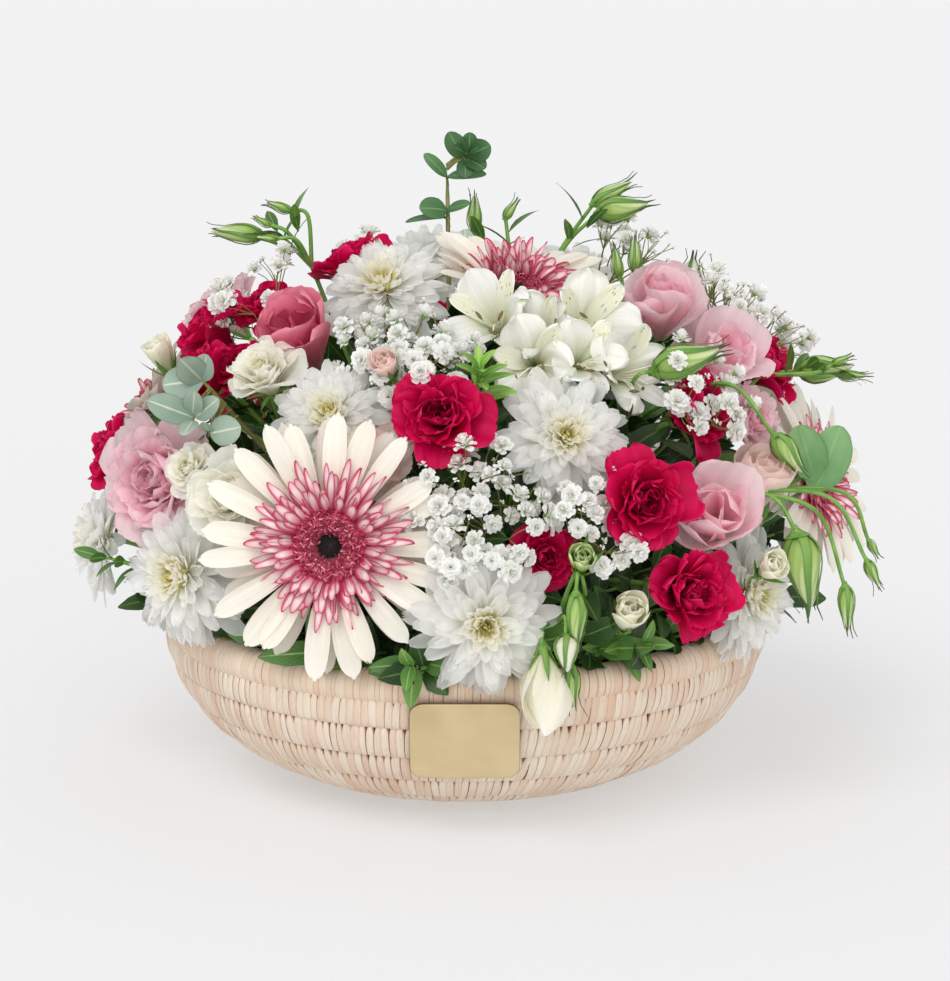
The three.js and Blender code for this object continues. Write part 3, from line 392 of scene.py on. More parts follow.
class Piece:
    """A piece in the making: patches of quads, each a grid of points, that become one mesh."""

    CELL_MARGIN = 0.3  # round each cell of the map for a bake
    FILLED = 0.96  # of that map, at most, and how much smaller each further try is
    PLAIN = (0.5, 0.0, 0.5)  # tint of a patch that has none of its own

    def __init__(self, name, seed=0):
        self.name, self.patches = name, []
        self.rng = np.random.default_rng(seed)

    def add(self, points, look, tint=PLAIN, closed=False, place=None, cuts=1):
        """points is ([count,] rows, columns, 3). place is across and along, with one more column if closed.

        cuts is how many cells a wide patch is cut into for a bake.
        """
        points = np.asarray(points, float)
        points = points.reshape(-1, *points.shape[-3:])
        count, rows, columns, _ = points.shape
        edges = columns + 1 if closed else columns
        if place is None:
            place = np.stack(np.meshgrid(np.linspace(0, 1, edges), np.linspace(0, 1, rows)), -1)
        tint = np.asarray(tint, float)
        if tint.ndim < 3:
            tint = np.atleast_2d(tint)[:, None, None]
        self.patches.append((points, look, np.broadcast_to(tint, points.shape), closed,
                             np.broadcast_to(place, (count, rows, edges, 2)), cuts))

    def tube(self, path, radius, sides=7, rows=12, look="twig", tinted=False, ends=(1.0, 1.0)):
        tint = (self.rng.random(), 0, 0) if tinted else self.PLAIN
        self.add(tube(path, radius, sides, rows, ends), look, tint, closed=True)

    def packed(self):
        """The corners and spans of the patches' cells in the unit square, on shelves, for a bake."""
        sizes = []
        for points, _, _, _, _, cuts in self.patches:
            _, rows, columns, _ = points.shape
            wide = np.linalg.norm(np.diff(points[:, rows // 2], axis=1), axis=-1).sum(1) / cuts
            tall = np.linalg.norm(np.diff(points[:, :, columns // 2], axis=1), axis=-1).sum(1)
            sizes.append(np.repeat(np.stack([wide, tall], 1), cuts, axis=0))
        sizes = np.concatenate(sizes) + 2 * self.CELL_MARGIN
        order = np.argsort(-sizes[:, 1])
        scale = self.FILLED / math.sqrt((sizes[:, 0] * sizes[:, 1]).sum())
        while True:
            corners = np.zeros_like(sizes)
            x, y, shelf = 0.0, 0.0, 0.0
            for i in order:
                wide, tall = sizes[i] * scale
                if x + wide > 1:
                    x, y, shelf = 0.0, y + shelf, 0.0
                corners[i] = x, y
                x += wide
                shelf = max(shelf, tall)
            if y + shelf <= 1 and sizes[:, 0].max() * scale <= 1:
                return corners + self.CELL_MARGIN * scale, (sizes - 2 * self.CELL_MARGIN) * scale
            scale *= self.FILLED

    def finish(self, slot, *nodes):
        """Makes the mesh, which rides on the only body and stands for the nodes."""
        corners, spans = self.packed()
        points, tints, quads, places, baked, looks, names = [], [], [], [], [], [], []
        start = cell = 0
        for grid, look, tint, closed, place, cuts in self.patches:
            count, rows, columns, _ = grid.shape
            across = columns if closed else columns - 1
            if look not in names:
                names.append(look)
            index = start + np.arange(count * rows * columns).reshape(count, rows, columns)
            if closed:
                index = np.concatenate([index, index[:, :, :1]], 2)
            quads.append(quad_corners(index).reshape(-1, 4))
            places.append(quad_corners(place).reshape(-1, 2))
            step = np.arange(across)
            cut = step * cuts // across
            u = (np.stack([step, step + 1, step + 1, step], 1) - np.searchsorted(cut, cut)[:, None])
            u = u / np.bincount(cut)[cut][:, None]
            v = (np.arange(rows - 1)[:, None] + [0, 0, 1, 1]) / (rows - 1)
            share = np.stack(np.broadcast_arrays(u, v[:, None]), -1)
            cells = cell + np.arange(count)[:, None] * cuts + cut
            baked.append((corners[cells][:, None, :, None] + spans[cells][:, None, :, None] * share).reshape(-1, 2))
            looks.append(np.full(len(quads[-1]), names.index(look)))
            points.append(grid.reshape(-1, 3))
            tints.append(tint.reshape(-1, 3))
            start += count * rows * columns
            cell += count * cuts
        points, quads = np.concatenate(points) * MM, np.concatenate(quads)
        mesh = bpy.data.meshes.new(self.name)
        for items, many in ((mesh.vertices, len(points)), (mesh.loops, quads.size), (mesh.polygons, len(quads))):
            items.add(many)
        fill(mesh.vertices, "co", points)
        fill(mesh.loops, "vertex_index", quads, np.int32)
        fill(mesh.polygons, "loop_start", np.arange(0, quads.size, 4), np.int32)
        fill(mesh.polygons, "loop_total", np.full(len(quads), 4), np.int32)
        fill(mesh.polygons, "material_index", np.concatenate(looks), np.int32)
        fill(mesh.polygons, "use_smooth", np.ones(len(quads)), bool)
        for look in names:
            mesh.materials.append(LOOKS[look])
        for name, values in (("Place", places), ("OFBake", baked)):
            fill(mesh.uv_layers.new(name=name).data, "uv", np.concatenate(values))
        fill(mesh.attributes.new("tint", "FLOAT_VECTOR", "POINT").data, "vector", np.concatenate(tints))
        mesh.update()
        thing = bpy.data.objects.new(self.name, mesh)
        bpy.context.scene.collection.objects.link(thing)
        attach(thing, "root")
        if nodes:
            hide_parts(*nodes)


def blades(count, rows, columns, length, width, lean, shape, start=0.0, rise=0.0, cup=(0.0, 0.0), wave=0.0,
           waves=3.0, phase=0.0, ridge=0.0, ridges=2, curl=1.0, teeth=0.0, notches=3, rounding=0.0, spin=0.0,
           twist=0.0, frill=0.0, frills=7.0):
    """Petals or leaves that grow along +X from their own start and rise, turned about Z by spin.

    lean is the slope at the base and at the tip in degrees, cup half the angle of their cross-section there,
    and shape the width's share at points along them. wave, ridge, teeth and frill are heights in millimetres.
    """
    t = np.sin(np.linspace(0, np.pi / 2, rows)).reshape(1, rows, 1)
    s = np.linspace(-1, 1, columns).reshape(1, 1, columns)

    def per(value):
        return np.broadcast_to(np.asarray(value, float), (count,)).reshape(count, 1, 1)

    def between(ends, share):
        return per(ends[0]) + (per(ends[1]) - per(ends[0])) * share

    def summed(steps):
        return np.concatenate([np.zeros((count, 1, 1)), np.cumsum(steps, 1)], 1)

    (length, width, start, rise, wave, waves, phase, ridge, teeth, rounding, spin, twist, curl, frill) = map(
        per, (length, width, start, rise, wave, waves, phase, ridge, teeth, rounding, spin, twist, curl, frill))
    slope = np.radians(between(lean, t ** curl))
    step = np.diff(t, axis=1) * length
    middle = (slope[:, 1:] + slope[:, :-1]) / 2
    half = width / 2 * np.interp(t, *zip(*shape))
    bend = between(cup, t) + 1e-4
    side = half * np.sin(bend * s) / bend
    lift = half * (1 - np.cos(bend * s)) / bend
    lift = lift + wave * (0.25 + 0.75 * s ** 2) * t ** 1.6 * np.sin(waves * np.pi * (s + 0.35 * t) + phase)
    lift = lift + ridge * np.cos(ridges * np.pi * s) * np.sin(np.pi * np.minimum(t * 1.1, 1))
    lift = lift + frill * t ** 4 * np.sin(frills * np.pi * s + 2 * phase)
    back = rounding * s ** 2 * t ** 4 + teeth * np.cos(notches * np.pi * s + phase) * t ** 8
    angle = twist * t
    y, lift = side * np.cos(angle) - lift * np.sin(angle), side * np.sin(angle) + lift * np.cos(angle)
    x = start + summed(np.cos(middle) * step) - lift * np.sin(slope) - back * np.cos(slope)
    z = rise + summed(np.sin(middle) * step) + lift * np.cos(slope) - back * np.sin(slope)
    return np.stack([x * np.cos(spin) - y * np.sin(spin), x * np.sin(spin) + y * np.cos(spin), z], -1)


def turned(facing, spin=0.0):
    """Columns are the local axes of a head whose own +Z faces a way."""
    z = unit(facing)
    side = np.cross((0.0, 0.0, 1.0), z)
    x = unit(side) if np.linalg.norm(side) > 1e-3 else np.array([1.0, 0.0, 0.0])
    y = np.cross(z, x)
    c, s = math.cos(spin), math.sin(spin)
    return np.stack([x * c + y * s, y * c - x * s, z], 1)


def tube(path, radius, sides=7, rows=12, ends=(1.0, 1.0)):
    """A round tube on a smooth curve through points, with its radius at points along it."""
    path = np.asarray(path, float)
    if len(path) == 2:
        path = np.stack([path[0], path.mean(0), path[1]])
    padded = np.concatenate([2 * path[:1] - path[1:2], path, 2 * path[-1:] - path[-2:-1]])
    t = np.linspace(0, len(path) - 1, rows)
    i = np.minimum(t.astype(int), len(path) - 2)
    f = (t - i)[:, None]
    p0, p1, p2, p3 = (padded[i + k] for k in range(4))
    curve = 0.5 * (2 * p1 + (p2 - p0) * f + (2 * p0 - 5 * p1 + 4 * p2 - p3) * f ** 2
                   + (3 * p1 - p0 - 3 * p2 + p3) * f ** 3)
    along = np.gradient(curve, axis=0)
    along /= np.linalg.norm(along, axis=1)[:, None]
    u = [unit(np.cross(along[0], [0.31, 0.77, 0.55]))]  # from any way that no stem takes
    for way in along[1:]:
        u.append(unit(u[-1] - way * (u[-1] @ way)))
    u = np.array(u)
    radius = np.atleast_1d(np.asarray(radius, float))
    size = np.interp(np.linspace(0, 1, rows), np.linspace(0, 1, len(radius)), radius)
    size[0] *= ends[0]
    size[-1] *= ends[1]
    angle = np.linspace(0, FULL_TURN, sides, endpoint=False)[None, :, None]
    around = u[:, None] * np.cos(angle) + np.cross(along, u)[:, None] * np.sin(angle)
    return curve[:, None] + around * size[:, None, None]


def revolve(profile, sides):
    """A closed grid from [radius, height] points."""
    profile = np.asarray(profile, float)
    return polar(profile[:, :1], np.linspace(0, FULL_TURN, sides, endpoint=False), profile[:, 1:])


def shares(count):
    return (np.arange(count) + 0.5) / count


def spiral(count):
    return np.arange(count) * GOLDEN_ANGLE


class Head:
    """A bloom or bud in the making, whose own +Z faces a way. Its parts are added to a piece."""

    def __init__(self, piece, at, facing, scale=1.0, spin=0.0):
        self.piece, self.rng = piece, piece.rng
        self.at, self.turn, self.scale = np.asarray(at, float), turned(facing, spin), scale

    def add(self, grid, look="calyx", *tint, **values):
        self.piece.add(np.asarray(grid) @ self.turn.T * self.scale + self.at, look, *tint, **values)

    def solid(self, grid, look="calyx", *tint, **values):
        self.add(grid, look, *tint, closed=True, **values)

    def tints(self, count, layer):
        return np.stack([self.rng.random(count), np.broadcast_to(layer, (count,)), self.rng.random(count)], 1)

    def blades(self, look, layer, count, *sizes, offset=0.0, **values):
        self.add(blades(count, *sizes, **values) + offset, look, self.tints(count, layer))

    def ring(self, count, turn=0.0, jitter=0.2):
        """Angles evenly round a circle, each a little off."""
        return turn + (np.arange(count) + (self.rng.random(count) - 0.5) * 2 * jitter) * (FULL_TURN / count)

    def draws(self, count):
        """Two functions: one varies a value by a share, and the other gives numbers within a width round zero."""
        return (lambda value, share: value * (1 + (self.rng.random(count) * 2 - 1) * share),
                lambda width: (self.rng.random(count) - 0.5) * width)

    def sepals(self, count, length, rise, lean, width, look="calyx", start=1.0, shape=None):
        vary, _ = self.draws(count)
        self.blades(look, 0.0, count, 6, 3, vary(length, 0.1), width, lean, shape or POINTED, start=start, rise=rise,
                    cup=(0.6, 0.3), spin=self.ring(count))


# ---------------------------------------------------------------- blooms
# [way along, share of the width] of petals and leaves
RAY = [(0, 0.32), (0.15, 0.45), (0.4, 0.82), (0.62, 1.0), (0.8, 0.96), (0.92, 0.78), (0.98, 0.5), (1, 0.26)]
POINTED = [(0, 0.4), (0.3, 0.78), (0.58, 1.0), (0.8, 0.86), (0.93, 0.5), (1, 0.08)]
LANCE = [(0, 0.4), (0.35, 0.8), (0.62, 1.0), (0.84, 0.82), (0.95, 0.5), (1, 0.12)]
BLUNT = [(0, 0.42), (0.3, 0.78), (0.58, 1.0), (0.8, 0.93), (0.93, 0.66), (1, 0.28)]
SPOON = [(0, 0.5), (0.4, 0.7), (0.7, 1.0), (0.9, 0.75), (1, 0.12)]
FAN = [(0, 0.12), (0.2, 0.4), (0.45, 0.76), (0.7, 1.0), (0.88, 0.96), (0.97, 0.78), (1, 0.62)]
OBOVATE = [(0, 0.1), (0.25, 0.22), (0.45, 0.6), (0.65, 0.95), (0.8, 1.0), (0.92, 0.8), (0.98, 0.45), (1, 0.12)]
SEPAL = [(0, 0.7), (0.25, 1.0), (0.6, 0.7), (0.85, 0.3), (1, 0.05)]
OVATE = [(0, 0.08), (0.08, 0.4), (0.3, 0.92), (0.48, 1.0), (0.7, 0.82), (0.88, 0.45), (1, 0.04)]
ROUND = [(0, 0.15), (0.1, 0.55), (0.3, 0.92), (0.5, 1.0), (0.72, 0.92), (0.9, 0.6), (0.98, 0.28), (1, 0.08)]
BUD_BODY = [(0, 0.25), (0.12, 0.75), (0.3, 1.0), (0.5, 0.92), (0.72, 0.62), (0.9, 0.32), (1, 0.06)]

DISC_EYE, DISC_RADIUS = 4.3, 14.8  # radii of a gerbera's dark middle and of its disc


def gerbera(head, fold=None):
    """Two rows of rays, three rows of short florets with pink edges, and a disc of curly florets.

    fold is a side, in radians, to which the rays stand up, and the florets over a wider sector.
    """
    rng = head.rng

    def raised(most, turn, power):
        return 0.0 if fold is None else most * np.clip(np.cos(spin - fold + turn), 0, 1) ** power

    for count, length, low, lean, look in ((21, 43, -2.0, (10, -5), "ray"), (19, 41, -4.5, (2, -9), "ray_under_painted_light")):
        vary, off = head.draws(count)
        spin = head.ring(count, 0.3 * low, 0.3)
        up = raised(46, 0.0, 2.0)
        head.blades(look, 0.0, count, 12, 9, vary(length, 0.07), vary(9.8, 0.14),
                    (vary(lean[0], 0.6) + up, lean[1] + off(10) + up), RAY, start=8.5,
                    rise=low + rng.random(count) * 0.8, cup=(0.8, 0.35), ridge=0.42, teeth=vary(0.4, 0.9),
                    rounding=1.6, spin=spin, twist=off(0.5))
    for count, length, lean in ((40, 19, (16, 2)), (46, 15, (30, 14)), (46, 10.5, (46, 30))):
        vary, off = head.draws(count)
        spin = head.ring(count, length, 0.55)
        up = raised(62, 0.9, 0.6)
        head.blades("floret", 0.2, count, 8, 7, vary(length, 0.24), vary(4.7 if fold is None else 5.8, 0.22),
                    (vary(lean[0], 0.45) + up, lean[1] + off(44) + up), LANCE, start=13.2, rise=0.4,
                    cup=(1.3, 0.7), spin=spin, ridge=0.15, wave=0.45, phase=rng.random(count) * 6, twist=off(2.2))
    count = 720
    vary, off = head.draws(count)
    share = np.sqrt(shares(count))
    spots = polar(DISC_EYE + (DISC_RADIUS - DISC_EYE) * share, spiral(count), 0.4 + 2.4 * np.sin(share * np.pi * 0.9))
    head.blades("disc", np.clip(0.66 * (1.02 - share), 0, 1), count, 4, 3, vary(1.7 + 1.3 * share, 0.3), 0.95,
                (60 + off(30), -60 + off(90)), SPOON, cup=(1.2, 1.0), spin=rng.random(count) * 2 * np.pi,
                twist=off(2), offset=spots[:, None, None])
    count = 60
    vary, off = head.draws(count)
    spots = polar(DISC_EYE * np.sqrt(shares(count)), spiral(count), 0.0)
    head.blades("disc", 1.0, count, 4, 3, vary(1.6, 0.3), 1.0, (80, 40), SPOON, cup=(1.2, 1.0), spin=spiral(count),
                offset=spots[:, None, None])
    base = np.linspace(0, 1, 12)
    dome = revolve(np.stack([15.2 * base + 0.2, 2.2 * np.sin(np.clip(base - 0.22, 0, 1) * 3.6) - 0.2], 1), 24)
    tint = np.zeros(dome.shape)
    tint[..., 1] = np.where(base < 0.32, 1.0, 0.4)[:, None]
    head.solid(dome, "disc", tint)
    for length, rise in ((13, -8.5), (10, -8.8)):
        head.blades("calyx", 0.0, 18, 7, 3, length, 4.2, (38, 12), POINTED, start=2.5, rise=rise, cup=(0.6, 0.4),
                    spin=head.ring(18, rise))
    cone = np.linspace(0, 1, 7)
    head.solid(revolve(np.stack([1.6 + 8.5 * cone ** 1.5, -9.5 + 7 * cone], 1), 24))


def mum(head):
    """Petals on a golden spiral, long and flat outside, short and curled in towards a cream heart."""
    count = 118
    vary, off = head.draws(count)
    f = shares(count)
    inner = f ** 1.15
    head.blades("mum", f, count, 8, 7, vary(26.0 - 17.0 * inner, 0.13), vary(9.2 - 4.4 * inner, 0.18),
                (2 + 66 * inner ** 1.3 + off(14), -20 + 92 * inner ** 1.25 + off(38)), BLUNT,
                start=5.5 - 3.9 * inner, rise=-6.5 + 9 * inner, cup=(0.7, 0.5 + 0.7 * inner), ridge=0.3, ridges=3,
                teeth=vary(0.6, 0.9), phase=head.rng.random(count) * 2, curl=1.3, wave=0.5,
                spin=spiral(count) + off(0.5), twist=off(1.1))
    count = 84
    vary, off = head.draws(count)
    f = np.sqrt(shares(count))
    head.blades("mum_heart", f, count, 6, 3, vary(5.2 + 1.4 * f, 0.2), 2.0,
                (88 - 16 * f + off(16), 112 - 34 * f + off(36)), SPOON, start=6.4 * f, rise=3.0 - 1.6 * f,
                cup=(1.3, 1.2), curl=1.4, spin=spiral(count), twist=off(1.2))
    head.sepals(12, 9.0, -10.5, (22, 5), 4.6)


def lisianthus(head, ruffled, look="lisianthus"):
    """Wide petals cupped round each other, either ruffled and open or smooth, folded and half closed."""
    count = 22 if ruffled else 8
    vary, off = head.draws(count)
    f = shares(count)
    if ruffled:
        lean = (62 + 28 * f + off(8), -8 + 92 * f ** 0.8 + off(24))
        length, width, curl = 33.0 - 9.0 * f, 33.0 - 13.0 * f, 1.5
        wave, waves, frill = 2.6 - 1.2 * f, 3.4, 0.8 - 0.3 * f
    else:
        lean = (66 + 22 * f, 34 + 62 * f ** 0.8 + off(26))
        length, width, curl = 35.0 - 3.0 * f, 42.0 - 14.0 * f, 2.2
        wave, waves, frill = 4.0 - 1.6 * f, 1.5, 0.3
    head.blades(look, f, count, 14, 17, vary(length, 0.09), vary(width, 0.1), lean, FAN, start=1.5 - f,
                rise=-14.0 + 2.5 * f, cup=(1.2 + 0.7 * f, 0.8 + 1.0 * f), wave=vary(wave, 0.35),
                waves=vary(waves, 0.3), phase=head.rng.random(count) * 6.28, frill=frill, teeth=0.35, notches=5,
                rounding=3.0, curl=curl, spin=spiral(count), twist=off(0.5))
    head.sepals(5, 22.0, -15.0, (44, 72), 2.4, "sepal", shape=SEPAL)


def rose(head, look):
    """Ruffled petals in a loose spiral, curled back outside and rolled at the heart."""
    count = 27
    vary, off = head.draws(count)
    f = shares(count)
    loose = 1.0 if look == "crimson" else 0.6
    head.blades(look, f, count, 10, 13, vary(25.0 - 5.0 * f, 0.08), vary(26.0 - 12.0 * f, 0.14),
                (60 + 29 * f + off(10 * loose), -24 + 116 * f ** 0.7 + off(34 * loose)), FAN, start=2.6 - 2.2 * f,
                rise=-12.0 + 1.5 * f, cup=(1.2 + 0.7 * f, 0.7 + 1.2 * f), wave=vary((2.3 - 1.0 * f) * loose, 0.4),
                waves=vary(3.0, 0.35), frill=0.55 * loose, frills=8.0, phase=head.rng.random(count) * 6.28,
                rounding=2.2, curl=1.7 + 0.6 * f, teeth=0.35, notches=7, spin=spiral(count) + off(0.7),
                twist=off(0.8))
    head.sepals(5, 15.0, -12.0, (30, -4), 3.2, "sepal", shape=SEPAL)
    hip = np.linspace(0, 1, 6)
    head.solid(revolve(np.stack([1.0 + 2.6 * np.sin(hip * np.pi * 0.6), -15.0 + 4.0 * hip], 1), 10))


def alstroemeria(head):
    """Three broad outer petals and three narrow inner ones on a funnel, with six stamens."""
    rng = head.rng
    vary, off = head.draws(3)
    shut = rng.random() * 18 - 4
    head.blades("alstroemeria", 0.0, 3, 18, 15, vary(46.0, 0.08), vary(21.5, 0.14), (85, 18 + shut + off(40)), OBOVATE,
                start=1.2, rise=-26.0, cup=(1.2, -0.45), wave=vary(5.2, 0.4), waves=vary(1.7, 0.3),
                phase=rng.random(3) * 6, curl=1.7, teeth=0.5, notches=2,
                spin=np.array([np.pi / 2, -np.pi / 6, -np.pi * 5 / 6]) + off(0.4), ridge=0.55, ridges=3,
                rounding=0.6, frill=0.3, frills=5, twist=off(1.1))
    spin = np.array([np.pi / 6, np.pi * 5 / 6, -np.pi / 2]) + off(0.3)
    head.blades("alstroemeria", [1.0, 1.0, 0.0], 3, 16, 9, [44.0, 43.0, 40.0], [11.5, 11.5, 10.0],
                (87, np.array([36.0, 38.0, 16.0]) + shut), OBOVATE, start=0.8, rise=-25.0, cup=(1.4, 0.5),
                spin=spin, ridge=0.2, ridges=1, wave=1.3, phase=rng.random(3) * 6, twist=off(0.9))
    for k in range(6):
        angle = -np.pi / 2 + (k - 2.5) * 0.42
        out = np.array([math.cos(angle), math.sin(angle), 0.0])
        tip = out * (5.0 + rng.random() * 7) + [0, 0, 4 + rng.random() * 7]
        path = [[0, 0, -20], out * 2.5 + [0, 0, -6], out * 5 + [0, 0, 1], tip]
        head.solid(tube(path, [0.5, 0.35], 5, 9), "filament")
        if k % 2 == 0:
            way = unit(np.cross(out, [0, 0, 1]) + rng.normal(size=3) * 0.6)
            head.solid(tube([tip - way * 2.6, tip, tip + way * 2.6], [0.25, 0.8, 0.8, 0.25], 6, 7), "anther")
    head.solid(tube([[0, 0, -31], [0, 0, -24]], [1.0, 2.2, 1.7], 8, 6))


def bud(head, length, fat, skin="bud_skin"):
    """A closed bud: a twisted ribbed body, and five narrow sepals that hug it and fork at its tip."""
    rng = head.rng
    fat = length * fat
    rows, sides = 14, 15
    t = np.linspace(0, 1, rows)[:, None]
    angle = np.linspace(0, FULL_TURN, sides, endpoint=False)[None] + 1.6 * t
    outline = tuple(zip(*BUD_BODY))
    radius = fat * np.interp(t, *outline) * (1 + 0.07 * np.cos(5 * (angle - 1.6 * t)))
    place = np.stack(np.broadcast_arrays((np.arange(sides + 1) / sides * 5) % 1, t), -1)
    head.solid(polar(radius, angle, length * t), skin, (rng.random(), 0, rng.random()), place=place)
    strips = []
    for k in range(5):
        end = 1.0 + 0.28 * rng.random()
        t = np.linspace(0, end, 14)[:, None]
        away = np.clip(t - 0.78, 0, 1)
        spread, bend = 0.1 + 0.5 * rng.random(), (rng.random() - 0.5) * 1.6
        r = fat * np.interp(t, *outline) * 1.07 + 0.22 + away * length * spread
        turn = 2 * np.pi * (k + 0.2 * (rng.random() - 0.5)) / 5 + 0.5 * t + bend * away
        wide = fat * 0.3 * np.clip(1 - t / end, 0, 1) ** 0.75 + 0.12
        across = np.array([[-1.0, 0.0, 1.0]])
        strips.append(polar(r + (1 - np.abs(across)) * 0.28, turn + across * wide / np.maximum(r, 0.5),
                            length * t - 0.4))
    head.add(strips, "sepal", head.tints(5, 0.0))
    neck = np.linspace(0, 1, 6)
    head.solid(revolve(np.stack([0.9 + (fat * 0.75 - 0.9) * neck ** 1.6, length * 0.15 * (neck - 0.62)], 1), 9))


def long_sepals(head, length, width, lean, start):
    head.blades("sepal", 0.0, 5, 9, 3, length, width, lean, SEPAL, start=start, rise=-0.4, cup=(0.8, 0.5),
                spin=head.ring(5))


def rose_bud(head, length, skin="rose_bud_skin", sepal=0.8):
    """A rose that begins to open: petals rolled round each other, and sepals of a share of its length."""
    count = 9
    vary, _ = head.draws(count)
    f = shares(count)
    head.blades(skin, f, count, 10, 9, length * vary(1.0 - 0.06 * f, 0.03), length * (1.1 - 0.4 * f),
                (66 + 20 * f, 78 + 24 * f), FAN, start=length * (0.14 - 0.12 * f), rise=0.3, cup=(1.3, 1.3 + 0.6 * f),
                wave=0.5, phase=head.rng.random(count) * 6, rounding=1.5, frill=0.12, spin=spiral(count))
    vary, _ = head.draws(5)
    long_sepals(head, vary(length * sepal, 0.15), length * 0.2, (50, vary(84, 0.2)), length * 0.14)
    head.solid(tube([[0, 0, -length * 0.3], [0, 0, length * 0.1]], [0.9, length * 0.15, length * 0.16], 8, 6))


def closed_bloom(head, length):
    """A lisianthus bloom that hasn't opened: long petals folded round each other, with a short calyx."""
    count = 6
    vary, _ = head.draws(count)
    f = shares(count)
    head.blades("cream", f, count, 16, 11, length * vary(1.12, 0.08), length * (0.98 - 0.24 * f),
                (56 + 20 * f, 108 + 6 * f), OVATE, start=length * (0.06 - 0.04 * f), rise=1.0, curl=1.1,
                cup=(1.5, 1.0 + 0.5 * f), wave=1.2, waves=1.4, phase=head.rng.random(count) * 6, ridge=0.3,
                spin=spiral(count), twist=0.6)
    vary, _ = head.draws(5)
    long_sepals(head, vary(length * 0.42, 0.2), length * 0.11, (54, 78), length * 0.07)
    head.solid(tube([[0, 0, -length * 0.1], [0, 0, length * 0.08]], [0.9, length * 0.08, length * 0.09], 8, 6))


# Open blooms: [builder, reference diameter, height of the neck over the bloom's centre, stem radius]
BLOOMS = {
    "gerbera": (gerbera, 104, -9.5, 2.8),
    "mum": (mum, 58, -11, 2.0),
    "lisianthus": (partial(lisianthus, ruffled=True), 50, -15.5, 1.7),
    "cup": (partial(lisianthus, ruffled=False), 50, -15.5, 1.7),
    "deep": (partial(lisianthus, ruffled=False, look="deep"), 50, -15.5, 1.7),
    "alstroemeria": (alstroemeria, 56, -31, 1.6),
    **{look: (partial(rose, look=look), 40, -15, 1.4) for look in ("crimson", "cream", "blush")},
}
# Builders of buds from their length. fat is a bud's radius over its length
BUDS = {
    "green_bud": partial(bud, fat=0.19),
    "full_bud": partial(bud, fat=0.25),
    "fat_bud": partial(bud, fat=0.31, skin="rose_bud_skin"),
    "cream_bud": rose_bud,
    "blush_bud": partial(rose_bud, skin="blush"),
    "green_rose_bud": partial(rose_bud, skin="bud_skin", sepal=1.0),
    "hanging": closed_bloom,
}
BUD_STEM = 1.1  # radius
FOLDED = {"gerbera_top": math.radians(190)}  # the side to which a gerbera's petals stand up
HANGS_BELOW = -0.7  # heads that face down more than this have no leaves on their stems
# [look, length, width] of the leaves on the stems of a slot
STEM_LEAVES = {"petals_crimson": ("dark", 24, 13), "petals_white": ("dark", 22, 10),
               "petals_pink": ("leaf", 22, 8), "leaf_green": ("leaf", 18, 5)}

